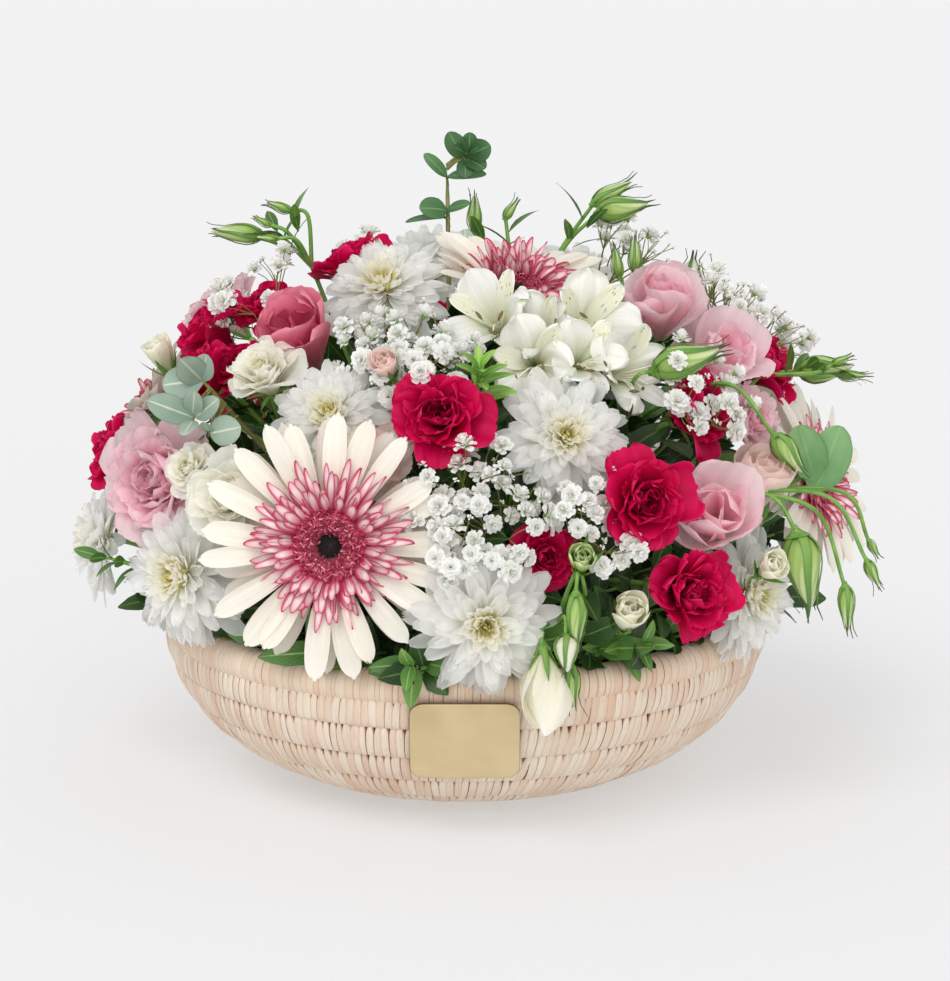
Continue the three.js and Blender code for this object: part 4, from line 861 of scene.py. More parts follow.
# ---------------------------------------------------------------- the arrangement
# Heads are [kind, centre, diameter or length, [azimuth, elevation] faced, points that the stem passes],
# and a stem may end with the place where it forks
STEMS = {
    "gerbera_front": ["petals_blush", [["gerbera", [-54, -124, 127], 106, [-99, 8]]]],
    "gerbera_top": ["petals_blush", [["gerbera", [21, 2, 207], 88, [-96, 72]]]],
    "gerbera_right": ["petals_blush", [["gerbera", [150, 6, 123], 84, [-30, 20]]]],
    "gerbera_left": ["petals_blush", [["gerbera", [-136, 46, 146], 78, [160, 28]]]],
    "gerbera_back": ["petals_blush", [["gerbera", [12, 134, 122], 88, [84, 20]]]],
    "mum_front": ["petals_white", [["mum", [8, -144, 100], 58, [-86, 4]]]],
    "mum_middle": ["petals_white", [["mum", [40, -107, 168], 54, [-78, 24]]]],
    "mum_upper": ["petals_white", [["mum", [-54, -92, 173], 52, [-108, 36]]]],
    "mum_top": ["petals_white", [["mum", [-34, -16, 212], 56, [-110, 52]], ["mum", [-18, 68, 208], 52, [106, 50]]]],
    "mum_left": ["petals_white", [
        ["mum", [-116, -88, 106], 62, [-128, 6]], ["mum", [-156, -20, 104], 50, [-174, 10]]]],
    "mum_right": ["petals_white", [["mum", [117, -84, 97], 56, [-44, 4]]]],
    "mum_back": ["petals_white", [["mum", [-112, 92, 104], 58, [141, 14]], ["mum", [-66, 100, 166], 56, [124, 42]]]],
    "mum_back_right": ["petals_white", [["mum", [104, 98, 106], 58, [44, 14]], ["mum", [50, 66, 201], 52, [55, 52]]]],
    "lisianthus_upper": ["petals_pink", [["deep", [-67, -36, 189], 54, [-124, 52]]]],
    "lisianthus_left": ["petals_pink", [["lisianthus", [-124, -54, 137], 61, [-122, 16]]]],
    "lisianthus_high": ["petals_pink", [
        ["cup", [83, 2, 195], 52, [-90, 54]], ["cup", [105, -24, 179], 49, [-62, 42]],
        ["full_bud", [77, -72, 187], 28, [0, 20]], ["green_bud", [73, 26, 210], 15, [104, 78]],
        ["green_bud", [66, 24, 208], 13, [120, 70]],
        ["full_bud", [127, -66, 159], 19, [-20, -50], [[106, -62, 180]]]]],
    "lisianthus_right": ["petals_pink", [
        ["cup", [102, -90, 128], 56, [-96, 36]], ["lisianthus", [116, -32, 157], 36, [-40, 26]]]],
    "lisianthus_back": ["petals_pink", [
        ["lisianthus", [-58, 134, 104], 50, [112, 14]], ["lisianthus", [-104, 78, 180], 46, [148, 40]]]],
    "lisianthus_back_right": ["petals_pink", [["lisianthus", [96, 72, 168], 52, [38, 36]]]],
    "rose_middle": ["petals_crimson", [["crimson", [-10, -107, 176], 40, [-98, 30]]]],
    "rose_right": ["petals_crimson", [
        ["crimson", [71, -118, 143], 42, [-70, 14]], ["crimson", [90, -115, 105], 40, [-58, 4]],
        ["crimson", [32, -114, 120], 30, [-74, 12]]]],
    "rose_top": ["petals_crimson", [["crimson", [-49, 20, 213], 36, [160, 60]]]],
    "rose_left": ["petals_crimson", [
        ["crimson", [-108, 8, 187], 36, [-176, 42]], ["crimson", [-110, -22, 174], 32, [-164, 34]],
        ["crimson", [-149, 0, 137], 33, [-170, 24]], ["crimson", [-94, -18, 176], 28, [-140, 40]],
        ["crimson", [-84, 8, 197], 28, [-130, 56]]]],
    "rose_high": ["petals_crimson", [
        ["crimson", [94, -60, 168], 38, [-40, 30]], ["crimson", [126, 12, 171], 36, [-20, 36]]]],
    "rose_back": ["petals_crimson", [
        ["crimson", [-94, 118, 134], 38, [128, 26]], ["crimson", [-26, 114, 172], 40, [103, 38]]]],
    "rose_back_right": ["petals_crimson", [
        ["crimson", [70, 126, 106], 36, [62, 18]], ["crimson", [58, 102, 156], 38, [62, 34]]]],
    "white_rose_upper": ["petals_white", [
        ["cream", [-82, -66, 184], 34, [-122, 54]], ["cream_bud", [-126, 4, 170], 17, [-150, 64]]]],
    "white_rose_left": ["petals_white", [
        ["cream", [-112, -78, 148], 24, [-120, 30]], ["cream", [-94, -97, 140], 41, [-114, 22]]]],
    "white_rose_low": ["petals_white", [
        ["cream_bud", [63.5, -122, 93.5], 20, [-78, 40]],
        ["green_rose_bud", [46, -134, 120], 15, [-84, 40], [[48, -122, 104]]]]],
    "white_rose_high": ["petals_white", [["fat_bud", [95, 42, 190], 23, [40, 78]]]],
    "white_rose_right": ["petals_white", [
        ["blush_bud", [119, -56, 122], 35, [-72, 58]], ["cream_bud", [120, -98, 109], 16, [-64, 30]]]],
    "white_rose_middle": ["petals_blush", [
        ["blush_bud", [-30, -92, 190], 16, [-106, 40]], ["blush", [-36, -100, 156], 30, [-96, 22]]]],
    "white_rose_back": ["petals_white", [
        ["cream", [14, 92, 192], 36, [82, 46]], ["cream", [134, 56, 148], 32, [24, 28]]]],
    "white_lisianthus": ["petals_white", [
        ["hanging", [31, -142, 90], 30, [-88, -80]], ["green_bud", [44, -141, 112], 22, [-88, -76]],
        ["fat_bud", [40, -146, 96], 15, [-86, -56]], ["green_bud", [42, -142, 83], 17, [-66, -76], [[42, -136, 97]]]],
        [36, -122, 94]],
    "alstroemeria": ["petals_white", [
        ["alstroemeria", [12, -52, 206], 50, [-112, 40]], ["alstroemeria", [50, -42, 203], 50, [-68, 40]],
        ["alstroemeria", [28, -78, 192], 50, [-92, 18]], ["alstroemeria", [66, -68, 186], 50, [-54, 20]],
        ["alstroemeria", [32, -62, 202], 40, [-100, 32]], ["alstroemeria", [48, -77, 194], 42, [-76, 28]]]],
    "lisianthus_buds_left": ["leaf_green", [
        ["green_bud", [-87, 26, 226], 22, [176, 4]], ["green_bud", [-75, 30, 236], 11, [164, 14]],
        ["green_bud", [-83, 22, 231], 8, [178, 24]], ["green_bud", [-80, 18, 226], 9, [-170, 6]]], [-66, 28, 212]],
    "lisianthus_buds_top": ["leaf_green", [
        ["full_bud", [57, 40, 233], 22, [0, 12], [[44, 45, 219]]],
        ["green_bud", [55, 46, 236], 19, [4, 30], [[42, 47, 217]]],
        ["green_bud", [17, 50, 229], 10, [20, 54], [[20, 48, 212]]],
        ["green_bud", [4, 52, 223], 16, [100, 84], [[8, 49, 212]]]], [28, 44, 192]],
    "lisianthus_buds_right": ["leaf_green", [
        ["full_bud", [142, 5, 171], 23, [-6, 6]], ["green_bud", [158, -8, 172], 12, [-8, 0]],
        ["green_bud", [155, -10, 177], 9, [0, 26]]], [126, 2, 170]],
    "lisianthus_buds_low": ["leaf_green", [
        ["full_bud", [135, -90, 124], 31, [-46, -74], [[127, -88, 137]]],
        ["green_bud", [156, -80, 99], 18, [-50, -82], [[144, -80, 130]]],
        ["green_bud", [166, -66, 106], 12, [-24, -62], [[150, -72, 134]]],
        ["green_bud", [168, -52, 111], 8, [-20, -58], [[156, -62, 134]]]], [115, -82, 140]],
}
# [centre, florets, reach, share of them that are open]
GYPSOPHILA = {
    "gypsophila_upper": [[[-24, -76, 196], 56, 30, 0.7], [[-92, 10, 204], 24, 26, 0.6]],
    "gypsophila_front": [[[4, -128, 142], 62, 32, 0.75], [[56, -126, 138], 26, 22, 0.75]],
    "gypsophila_right": [[[98, -68, 178], 30, 24, 0.85], [[122, 26, 193], 74, 33, 0.16]],
    "gypsophila_back": [[[20, 116, 178], 34, 28, 0.75], [[72, 46, 220], 26, 20, 0.5]],
    "gypsophila_back_left": [[[-86, 100, 154], 30, 26, 0.75], [[-36, 84, 208], 24, 24, 0.75]],
}
# [look, slot, tip, leaves, [length, width], how far down the stem they go, where their faces look]
LEAFY = {
    "eucalyptus_top": ["gum", "leaf_green", [-8, 48, 250], 0, [19, 14], 30, [-92, 14]],
    "eucalyptus_left": ["grey", "leaf_grey", [-110, -56, 182], 4, [18, 15], 50, [-112, 24]],
    "eucalyptus_right": ["fresh", "leaf_green", [150, -44, 142], 0, [32, 27], 26, [-84, 8]],
    "eucalyptus_back": ["grey", "leaf_grey", [0, 122, 200], 10, [20, 17], 40, [86, 30]],
    "greens_left": ["leaf", "leaf_dark", [-153, -50, 104], 18, [18, 7.5], 50, None],
    "greens_middle": ["bright", "leaf_green", [6, -104, 196], 22, [18, 6.5], 26, None],
    "greens_front": ["leaf", "leaf_dark", [-22, -146, 84], 8, [21, 9], 28, None],
    "greens_low": ["leaf", "leaf_dark", [76, -130, 88], 10, [17, 6.5], 40, None],
    "greens_back": ["dark", "leaf_dark", [-24, 150, 90], 12, [28, 11], 44, None],
    "greens_back_right": ["dark", "leaf_dark", [148, 74, 94], 12, [28, 11], 44, None],
}
# Eucalyptus leaves that stand where they catch the eye: [base, tip, width, side that the face looks to]
PLACED_LEAVES = {
    "eucalyptus_top": [
        [[-8, 42, 234], [-19, 37, 236], 11, [-100, 34]], [[-8, 42, 234], [1, 37, 238], 7, [-80, 50]],
        [[-8, 41, 231], [-25, 40, 230], 8, [-96, 78]], [[-8, 45, 248], [-17, 43, 258], 6, [-50, 10]],
        [[-8, 45, 248], [8, 43, 250], 8, [-92, 62]], [[0, 46, 256], [-7, 43, 267], 9.5, [-110, 14]],
        [[1, 46, 257], [2, 43, 267], 8, [-84, 24]], [[1, 46, 257], [10, 42, 262], 10.5, [-70, 20]],
        [[0, 46, 256], [8, 40, 253], 9, [-84, 44]], [[0, 45, 258], [-4, 38, 262], 6, [-110, 30]],
        [[1, 45, 258], [5, 38, 262], 6, [-70, 30]], [[0, 45, 256], [0, 40, 249], 8, [-92, 30]]],
    "eucalyptus_left": [
        [[-111, -72, 168], [-128, -78, 176], 12, [-108, 20]], [[-111, -72, 169], [-110, -80, 180], 9, [-100, 10]],
        [[-110, -73, 168], [-101, -80, 177], 9, [-96, 14]], [[-111, -73, 167], [-114, -84, 164], 8, [-100, 50]],
        [[-104, -76, 161], [-117, -84, 157], 13, [-110, 22]], [[-104, -76, 162], [-92, -82, 166], 13, [-96, 16]],
        [[-103, -77, 160], [-100, -88, 151], 10, [-100, 24]], [[-104, -76, 163], [-106, -84, 168], 6, [-104, 10]],
        [[-108, -64, 156], [-128, -66, 167], 15, [-108, 24]], [[-101, -62, 157], [-115, -66, 170], 17, [-106, 20]]],
    "eucalyptus_right": [
        [[145, -52, 137], [138, -54, 159], 18, [-90, 4]], [[145, -50, 131], [155, -52, 158], 19, [-84, 4]]],
}

FLAT_BOWL, DEEP_BOWL = 0.07, 0.2  # half the depth of a gerbera's and of other blooms' petals, over the diameter
BOWL_RADIUS = 0.46  # of those petals, over the diameter
CORE_RADIUS = 0.31  # inside which no floret has room, over the diameter
FACE_SHARE, FACE_HEIGHT = 0.9, 30  # of the bowl's radius, and over it: where a floret would hide the bloom's face
# [centre, facing, diameter, half the depth] of each open bloom
BOWLS = [(np.array(at, float), direction(*facing), size, size * (FLAT_BOWL if kind == "gerbera" else DEEP_BOWL))
         for _, heads, *_ in STEMS.values() for kind, at, size, facing, *_ in heads if kind in BLOOMS]


def cuts_bloom(grid):
    """Whether a leaf's points lie within a bloom's bowl of petals."""
    spots = grid.reshape(-1, 3)
    for centre, facing, size, depth in BOWLS:
        along = (spots - centre) @ facing
        across = np.linalg.norm(spots - centre - along[:, None] * facing, axis=1)
        if ((across < size * BOWL_RADIUS) & (along > -depth) & (along < depth)).any():
            return True
    return False


def inside_bloom(place):
    return any(np.linalg.norm(place - centre) < size * CORE_RADIUS for centre, _, size, _ in BOWLS)


def before_bloom(place):
    """Whether a place lies over a bloom's face."""
    for centre, facing, size, _ in BOWLS:
        along = (place - centre) @ facing
        across = np.linalg.norm(place - centre - along * facing)
        if 0 < along < FACE_HEIGHT and across < size * BOWL_RADIUS * FACE_SHARE:
            return True
    return False


def clear_of_basket(points):
    """Points of a leaf, moved so that it lies on the rim or outside the wall instead of passing through."""
    x, y, z = points[..., 0], points[..., 1], points[..., 2]
    r = np.hypot(x, y)
    around = RIM_COIL + LEAF_CLEARANCE
    top = RIM_HEIGHT + around
    if r.flat[0] < RIM_RADIUS - INSIDE_RIM:
        z = np.where((r > RIM_RADIUS - RIM_LEDGE) & (z < top), top + PRESSED * (z - top), z)
    else:
        far, tall = r - RIM_RADIUS, z - RIM_HEIGHT
        away = np.maximum(np.hypot(far, tall), 1e-6)
        push = np.maximum(around, away) / away
        r, z = RIM_RADIUS + far * push, RIM_HEIGHT + tall * push
        wall = wall_point(np.linspace(0, 90, 30), -WALL_COIL - 1.4)
        r = np.where(z < RIM_HEIGHT, np.maximum(r, np.interp(z, wall[:, 1], wall[:, 0])), r)
    scale = r / np.maximum(np.hypot(x, y), 1e-6)
    return np.stack([x * scale, y * scale, z], -1)


def leaf(piece, at, way, up, length, width, look, shape=OVATE, fold=0.35, droop=25.0, rows=9, columns=5):
    """One leaf from a point along a way, bent down towards its tip, unless it would cut a bloom."""
    rng, way = piece.rng, unit(way)
    side = unit(np.cross(up, way))
    turn = np.stack([way, side, np.cross(way, side)], 1)
    grid = blades(1, rows, columns, length, width, (8, -droop), shape, cup=(fold, fold * 0.6),
                  wave=width * 0.03, waves=2.2, phase=rng.random() * 6, twist=(rng.random() - 0.5) * 0.5)
    tint = (rng.random(), 0.0, rng.random())
    grid = clear_of_basket(grid @ turn.T + at)
    if not cuts_bloom(grid):
        piece.add(grid, look, tint)


def seed_of(name):
    total = 7
    for letter in name:
        total = (total * 31 + ord(letter)) % 1000003
    return total


def build_plant(name, slot, heads, fork=None):
    """A stem, forked if it has more than one head, with its heads and with leaves below them."""
    piece = Piece(name + "_flowers", seed_of(name))
    rng = piece.rng
    necks = []
    for kind, at, size, facing, *passes in heads:
        at, facing = np.array(at, float), direction(*facing)
        spin = rng.random() * 2 * np.pi
        if kind in BLOOMS:
            build, diameter, drop, thick = BLOOMS[kind]
            scale = size / diameter
            neck = at + facing * drop * scale
            if kind == "alstroemeria":
                spin = (spin - np.pi) * 0.22
            if name in FOLDED:
                gerbera(Head(piece, at, facing, scale), FOLDED[name])
            else:
                build(Head(piece, at, facing, scale, spin))
        else:
            neck, thick = at, BUD_STEM
            BUDS[kind](Head(piece, at, facing, spin=spin), size)
        necks.append((neck, facing, thick, [np.array(p, float) for p in (passes[0] if passes else [])]))
    mean = np.mean([neck for neck, *_ in necks], 0)
    bend = np.array(fork, float) if fork else towards(mean, np.linalg.norm(mean - FOCUS) * FORK_SHARE)
    root = towards(bend, STEM_END)
    forked = len(necks) > 1
    if forked:
        thick = max(thick for _, _, thick, _ in necks)
        piece.tube([root, bend], [thick, thick * 0.85], 8, 10, "stem", True)
    for neck, facing, thin, passes in necks:
        if forked:
            last = [] if passes else [neck - facing * 8]
            piece.tube([bend, *passes, *last, neck + facing * 0.5], [thin * 0.9, thin * 0.75], 7, 18, "stem", True)
        else:
            piece.tube([root, (root + neck) / 2, neck - facing * 6, neck + facing], thin, 9, 16, "stem", True)
    if slot in STEM_LEAVES:
        look, length, width = STEM_LEAVES[slot]
        base = bend if forked else root
        for neck, facing, _, _ in necks:
            way_up = unit(neck - root)
            for k in range(2 if facing[2] >= HANGS_BELOW else 0):
                out = unit(np.cross(way_up, rng.normal(size=3)))
                leaf(piece, base + (neck - base) * (0.62 + 0.22 * k), unit(out + way_up * 0.9), way_up,
                     length * (0.8 + 0.4 * rng.random()), width, look)
    piece.finish(slot, name)


def build_leafy(name, look, slot, tip, leaves, size, along, face):
    """A leafy stem. Its leaves sit in pairs round it, or spread in the plane that looks to face."""
    piece = Piece(name + "_leaves", seed_of(name))
    rng = piece.rng
    tip = np.array(tip, float)
    root = towards(tip, STEM_END)
    way = unit(tip - root)
    rounded = look in ("grey", "gum")
    normal = direction(*face) if face else way
    sideways = unit(np.cross(way, normal)) if face else unit(np.cross([0, 0, 1], way))
    middle = (root + tip) / 2 + sideways * (rng.random() - 0.5) * 8
    piece.tube([root, middle, tip - way * 2], [1.4, 1.2, 0.9], 7, 18, "twig" if rounded else "stem", ends=(1, 0.4))
    for base, end, width, facing in PLACED_LEAVES.get(name, []):
        base, end = np.array(base, float), np.array(end, float)
        on_stem = root + way * ((base - root) @ way - 4)
        piece.tube([on_stem, (on_stem + base) / 2 + way, base + (end - base) * 0.06], [0.7, 0.45], 5, 7)
        leaf(piece, base, end - base, direction(*facing), np.linalg.norm(end - base) * 1.06, width, look, ROUND,
             0.25, 14, 12, 9)
    for i in range(leaves):
        back = along * (1 - (i + 1) / leaves)
        fresh = i / max(leaves - 1, 1)
        scale = (1.05 - 0.35 * fresh) * (0.9 + 0.2 * rng.random())
        if face:
            crown = max(0, i - (leaves - 4))  # the last three leaves, at the tip
            side = 1 if i % 2 else -1
            openness = (crown - 2) * 0.85 if crown else side * (0.9 + 0.35 * rng.random())
            lift = (rng.random() - 0.5) * 0.7
            aim = unit(way * math.cos(openness) + sideways * math.sin(openness) + normal * lift)
            back = 2.0 if crown else back - (back % 9) * 0.6
            up = unit(normal + rng.normal(size=3) * 0.22)
            droop = 8 + 14 * rng.random()
        else:
            turn = (i // 2) * 1.57 + (i % 2) * np.pi + (rng.random() - 0.5) * 0.5
            out = sideways * math.cos(turn) + np.cross(way, sideways) * math.sin(turn)
            openness = 1.15 - 0.75 * fresh ** 2
            aim = unit(way * math.cos(openness) + out * math.sin(openness))
            up, droop = way, 28
        leaf(piece, tip - way * (back + 1.5), aim, up, size[0] * scale, size[1] * scale, look,
             ROUND if rounded else OVATE, 0.22 if rounded else 0.4, droop, 10, 7)
    piece.finish(slot, name)


FLORET = 3.5  # reference size of a gypsophila floret
TRIES = 12  # at a free place for each floret
KEPT_OFF = {"gypsophila_right": 0.7}  # share of the florets kept off blooms' faces, in a spray where not all are


def build_gypsophila(name, clusters):
    """Twigs from a hub to each cluster, and florets at free places round their ends."""
    piece = Piece(name + "_florets", seed_of(name))
    rng = piece.rng
    centres = [np.array(c[0], float) for c in clusters]
    mean = np.mean(centres, 0)
    hub = towards(mean, np.linalg.norm(mean - FOCUS) * 0.66)
    piece.tube([towards(hub, STEM_END), hub], [1.4, 1.1], 6, 8)
    florets = []
    for centre, (_, count, reach, open_share) in zip(centres, clusters):
        out = unit(centre - FOCUS)
        axes = turned(out)
        branch_end = hub + (centre - hub) * 0.75
        piece.tube([hub, (hub + branch_end) / 2 + rng.normal(size=3), branch_end], [0.9, 0.6], 5, 8)
        twigs = []
        for k in range(max(3, count // 5)):
            angle = k * GOLDEN_ANGLE
            start = hub + (centre - hub) * (0.5 + 0.25 * rng.random())
            end = centre + axes @ np.array([math.cos(angle), math.sin(angle), 0]) * reach * 0.5 - out * 8
            twigs.append(end)
            piece.tube([start, (start + end) / 2 + rng.normal(size=3) * 1.5, end], [0.5, 0.32], 4, 7)
        for i in range(count):
            opened = rng.random() < open_share
            room = 6.0 if opened else 3.4
            for _ in range(TRIES):
                angle = i * GOLDEN_ANGLE + (rng.random() - 0.5) * 1.2
                far = reach * math.sqrt((i + rng.random()) / count)
                offset = np.array([math.cos(angle) * far, math.sin(angle) * far, rng.random() * 16 - 6])
                place = centre + axes @ offset
                over = before_bloom(place) and (name not in KEPT_OFF or rng.random() < KEPT_OFF[name])
                if not inside_bloom(place) and not over and all(np.linalg.norm(place - f) > room for f in florets):
                    break
            else:
                continue
            florets.append(place)
            twig = min(twigs, key=lambda t: np.linalg.norm(t - place))
            facing = unit(unit(place - centre + out * 22) + rng.normal(size=3) * 0.25)
            size = 4.2 * (0.75 + 0.4 * rng.random()) if opened else 1.3 * (0.8 + 0.5 * rng.random())
            piece.tube([twig, (twig + place) / 2 + rng.normal(size=3), place - facing * size * 0.6], [0.3, 0.2], 4, 6)
            head = Head(piece, place, facing, size / FLORET)
            head.sepals(5, 2.2, -2.6, (66, 60), 1.2, start=0.3)
            petals = 30 if opened else 7
            f = shares(petals)
            _, off = head.draws(petals)
            head.blades("floss", f, petals, 4, 4, 3.9 - 1.3 * f, 3.2 - 1.0 * f, (20 + 68 * f, -34 + 118 * f + off(20)),
                        FAN, start=0.3, rise=-1.7 + 2.2 * f, cup=(0.7, 0.9), wave=0.5, phase=rng.random(petals) * 6,
                        spin=spiral(petals), teeth=0.3)
    piece.finish("petals_white", name)


FILLER_STEMS = 170
FILLER_DOME = (148, 160)  # half the width and the height of the dome that they fill
FILLER_FLOOR = 80  # no tip is lower


def build_filler():
    """Dark leafy stems in the foam between the blooms, so that no foam shows; their darkness is partly painted shade.
    """
    piece = Piece("filler_leaves", 4021)
    rng = piece.rng
    for k in range(FILLER_STEMS):
        height = (k + 0.5) / FILLER_STEMS
        azimuth = k * GOLDEN_ANGLE
        level = math.sqrt(1 - height ** 2)
        out = unit([level * math.cos(azimuth), level * math.sin(azimuth), height + 0.02])
        radius = 1 / math.sqrt((out[0] ** 2 + out[1] ** 2) / FILLER_DOME[0] ** 2 + out[2] ** 2 / FILLER_DOME[1] ** 2)
        tip = FOCUS + out * radius * (0.82 + 0.14 * rng.random())
        root = FOCUS + out * STEM_END
        if tip[2] < FILLER_FLOOR:
            tip[2] = FILLER_FLOOR + rng.random() * 6
        way = unit(tip - root)
        piece.tube([root, (root + tip) / 2 + rng.normal(size=3) * 2, tip], [1.1, 0.7], 5, 7, "stem", True)
        sideways = unit(np.cross([0, 0, 1], way) + 1e-3)
        for i in range(6):
            turn = i * GOLDEN_ANGLE + rng.random()
            side = sideways * math.cos(turn) + np.cross(way, sideways) * math.sin(turn)
            openness = 0.95 - 0.1 * i + 0.2 * rng.random()
            aim = unit(way * math.cos(openness) + side * math.sin(openness))
            leaf(piece, tip - way * (34 - 6 * i), aim, way, 25 * (0.7 + 0.5 * rng.random()), 11,
                 "dark" if rng.random() < 0.8 else "leaf", rows=6)
    piece.finish("leaf_dark")


# ---------------------------------------------------------------- basket, liner, foam and plaque
RIM_RADIUS, RIM_HEIGHT, RIM_COIL = 123.0, 67.0, 7.3
BASE_RADIUS, WALL_COIL = 44.0, 6.3
LEAF_CLEARANCE = 1.2  # between a leaf and the rim
INSIDE_RIM, RIM_LEDGE = 4, 16  # how far inside the rim a leaf starts that lies on it, and where it is lifted
PRESSED = 0.12  # share of its own depth below the rim's top that such a leaf keeps
COIL_GROOVES = [4.0, 19.0, 34.0, 49.5, 63.0, 76.0, 87.0]  # degrees up the wall where two coils meet
# [way up a coil, share of its radius]: the foot stands over the coil below, and the top goes under the one above
COIL_PROFILE = [(-0.10, 0.5), (-0.05, 0.78), (0.02, 0.92), (0.14, 0.99), (0.36, 1.03), (0.6, 1.0), (0.74, 0.97),
                (0.86, 0.91), (0.95, 0.83), (1.02, 0.74), (1.1, 0.6)]
WALL_STITCH, RIM_STITCH = 3.4, 3.0  # width of one wrap
RIM_FROM, RIM_TO = -66, 172  # degrees round the rim coil that are wrapped
UNDERSIDE, UNDER_COIL = 52.0, 11.0  # radius of the flat base, and width of a coil on it
LOWEST = 0.05  # of the straw, so that it stays off the floor
WALL_INSIDE = 5.0
INSIDE_ANGLES = np.linspace(0, 84, 10)
FIT_GAP, LINER_THICKNESS = 0.35, 0.8
FOAM_PROFILE = [(101, 70), (97, 82), (92, 92), (80, 102), (62, 110), (34, 116), (0.5, 118)]
PLAQUE_WIDTH, PLAQUE_HEIGHT, PLAQUE_THICKNESS, PLAQUE_CORNER, PLAQUE_ANGLE = 44.5, 38.0, 1.2, 5.5, 73.0


def wall_point(angle, inset):
    """[radius, height] on the wall's quarter ellipse at an angle, set in from its centreline."""
    across, up = RIM_RADIUS - BASE_RADIUS, RIM_HEIGHT - WALL_COIL
    s, c = np.sin(np.radians(angle)), np.cos(np.radians(angle))
    length = np.hypot(up * s, across * c)
    return np.stack([BASE_RADIUS + across * s - inset * up * s / length,
                     RIM_HEIGHT - up * c + inset * across * c / length], -1)


def stitched(piece, row, radius, stitch, samples, profile, ridge, notch, look, uneven=0.2):
    """One wrapped coil. profile is [radius, height, normal radius, normal height, way up] for each row of points.

    samples are the ways across a wrap that have points. Each joint between two wraps opens into a wedge near the
    coil's top, as deep as notch times its own strength. Those wedges, and the coil's top where it goes under the one
    above, are painted with shade through the tint's layer.
    """
    rng = piece.rng
    stitches = int(round(2 * np.pi * radius / stitch))
    edges = np.cumsum(1 + (rng.random(stitches) * 2 - 1) * uneven)
    edges = np.concatenate([[0], edges / edges[-1] * stitches])
    part = np.tile(np.array(samples), stitches)
    whole = np.repeat(np.arange(stitches), len(samples))
    fraction = (edges[:-1, None] + np.diff(edges)[:, None] * np.array(samples)[None]).ravel() / stitches
    near = np.minimum(part, 1 - part)[None]
    strength = 0.1 + 1.3 * rng.random(stitches) ** 1.5
    strength = strength[(whole + (part >= 0.5)) % stitches][None]
    swell, lean = (np.repeat(rng.normal(size=stitches), len(samples))[None] for _ in range(2))
    profile = np.asarray(profile, float)
    up = np.clip(profile[:, 4:5], 0, 1)
    open_width = 0.02 + 0.26 * smooth(up, 0.74, 1.0)
    gap_and_shade = np.clip(1 - near / open_width, 0, 1) * smooth(up, 0.7, 0.92) * strength * (notch > 0)
    round_back = 1 - np.abs(1 - 2 * near) ** 3
    lift = ridge * (round_back - 0.6) * (0.5 + 0.5 * up) + 0.12 * swell * np.sin(np.pi * up) - notch * gap_and_shade
    rise = 0.5 * (round_back - 0.6) * smooth(up, 0.6, 1.0) * (notch > 0)
    slant = (0.35 + (0.14 if notch else 0.5) * lean) * (up - 0.5) * stitch / radius
    if not notch:
        slant = slant + 1.1 * lean * (up - 0.5) ** 2 * stitch / radius
    grid = polar(profile[:, :1] + lift * profile[:, 2:3] - rise * profile[:, 3:4],
                 2 * np.pi * fraction[None] + slant + np.pi / 2,
                 np.maximum(profile[:, 1:2] + lift * profile[:, 3:4] + rise * profile[:, 2:3], LOWEST))
    place = np.stack(np.broadcast_arrays(np.concatenate([whole + part, [stitches]]),
                                         row + np.clip(up, 0.001, 0.999)), -1)
    tint = np.zeros(grid.shape)
    tint[..., 0] = strength
    # Painted shade: the wedges, and a band along the top of each notched coil where it goes under the one above.
    tint[..., 1] = np.maximum(gap_and_shade, 0.24 * smooth(up, 0.88, 1.0) * (notch > 0))
    piece.add(grid, look, tint, closed=True, place=place, cuts=5)


def build_basket():
    piece = Piece("basket_straw", 77)
    for i, (low, high) in enumerate(zip(COIL_GROOVES, COIL_GROOVES[1:])):
        rows = []
        for up, share in COIL_PROFILE if i else COIL_PROFILE[::2]:
            angle = low + (high - low) * up
            spot = wall_point(angle, -WALL_COIL * share)
            out = unit(wall_point(angle, -1.0) - wall_point(angle, 0.0))
            rows.append([spot[0], max(spot[1], LOWEST), *out, up])
        radius = wall_point((low + high) / 2, 0.0)[0] + WALL_COIL
        samples = (0.0, 0.1, 0.27, 0.5, 0.73, 0.9) if i else (0.0, 0.2, 0.5, 0.8)
        stitched(piece, i + 1, radius, WALL_STITCH, samples, rows, 0.34, 1.4 if low > 30 else 1.0, "straw")
    rows = []
    for angle in np.linspace(RIM_FROM, RIM_TO, 13):
        c, s = math.cos(math.radians(angle)), math.sin(math.radians(angle))
        rows.append([RIM_RADIUS + RIM_COIL * c, RIM_HEIGHT + RIM_COIL * s, c, s,
                     (angle - RIM_FROM) / (RIM_TO - RIM_FROM)])
    stitched(piece, 20, RIM_RADIUS + RIM_COIL, RIM_STITCH, (0.0, 0.12, 0.5, 0.88), rows, 0.22, 0.0, "straw_rim", 0.45)
    inside = wall_point(INSIDE_ANGLES, WALL_INSIDE)[::-1]
    inside = [[RIM_RADIUS - RIM_COIL, RIM_HEIGHT + 0.5], *inside, [1.0, inside[-1][1]]]
    under = [[r, 0.9 - 0.85 * abs(math.sin(math.pi * r / UNDER_COIL)) ** 0.6]
             for r in np.linspace(1.0, UNDERSIDE, 60)]
    piece.add(revolve(inside, 72), "straw_rim", closed=True)
    piece.add(revolve(under[::-1], 96), "straw_rim", closed=True)
    piece.finish("straw", "basket")


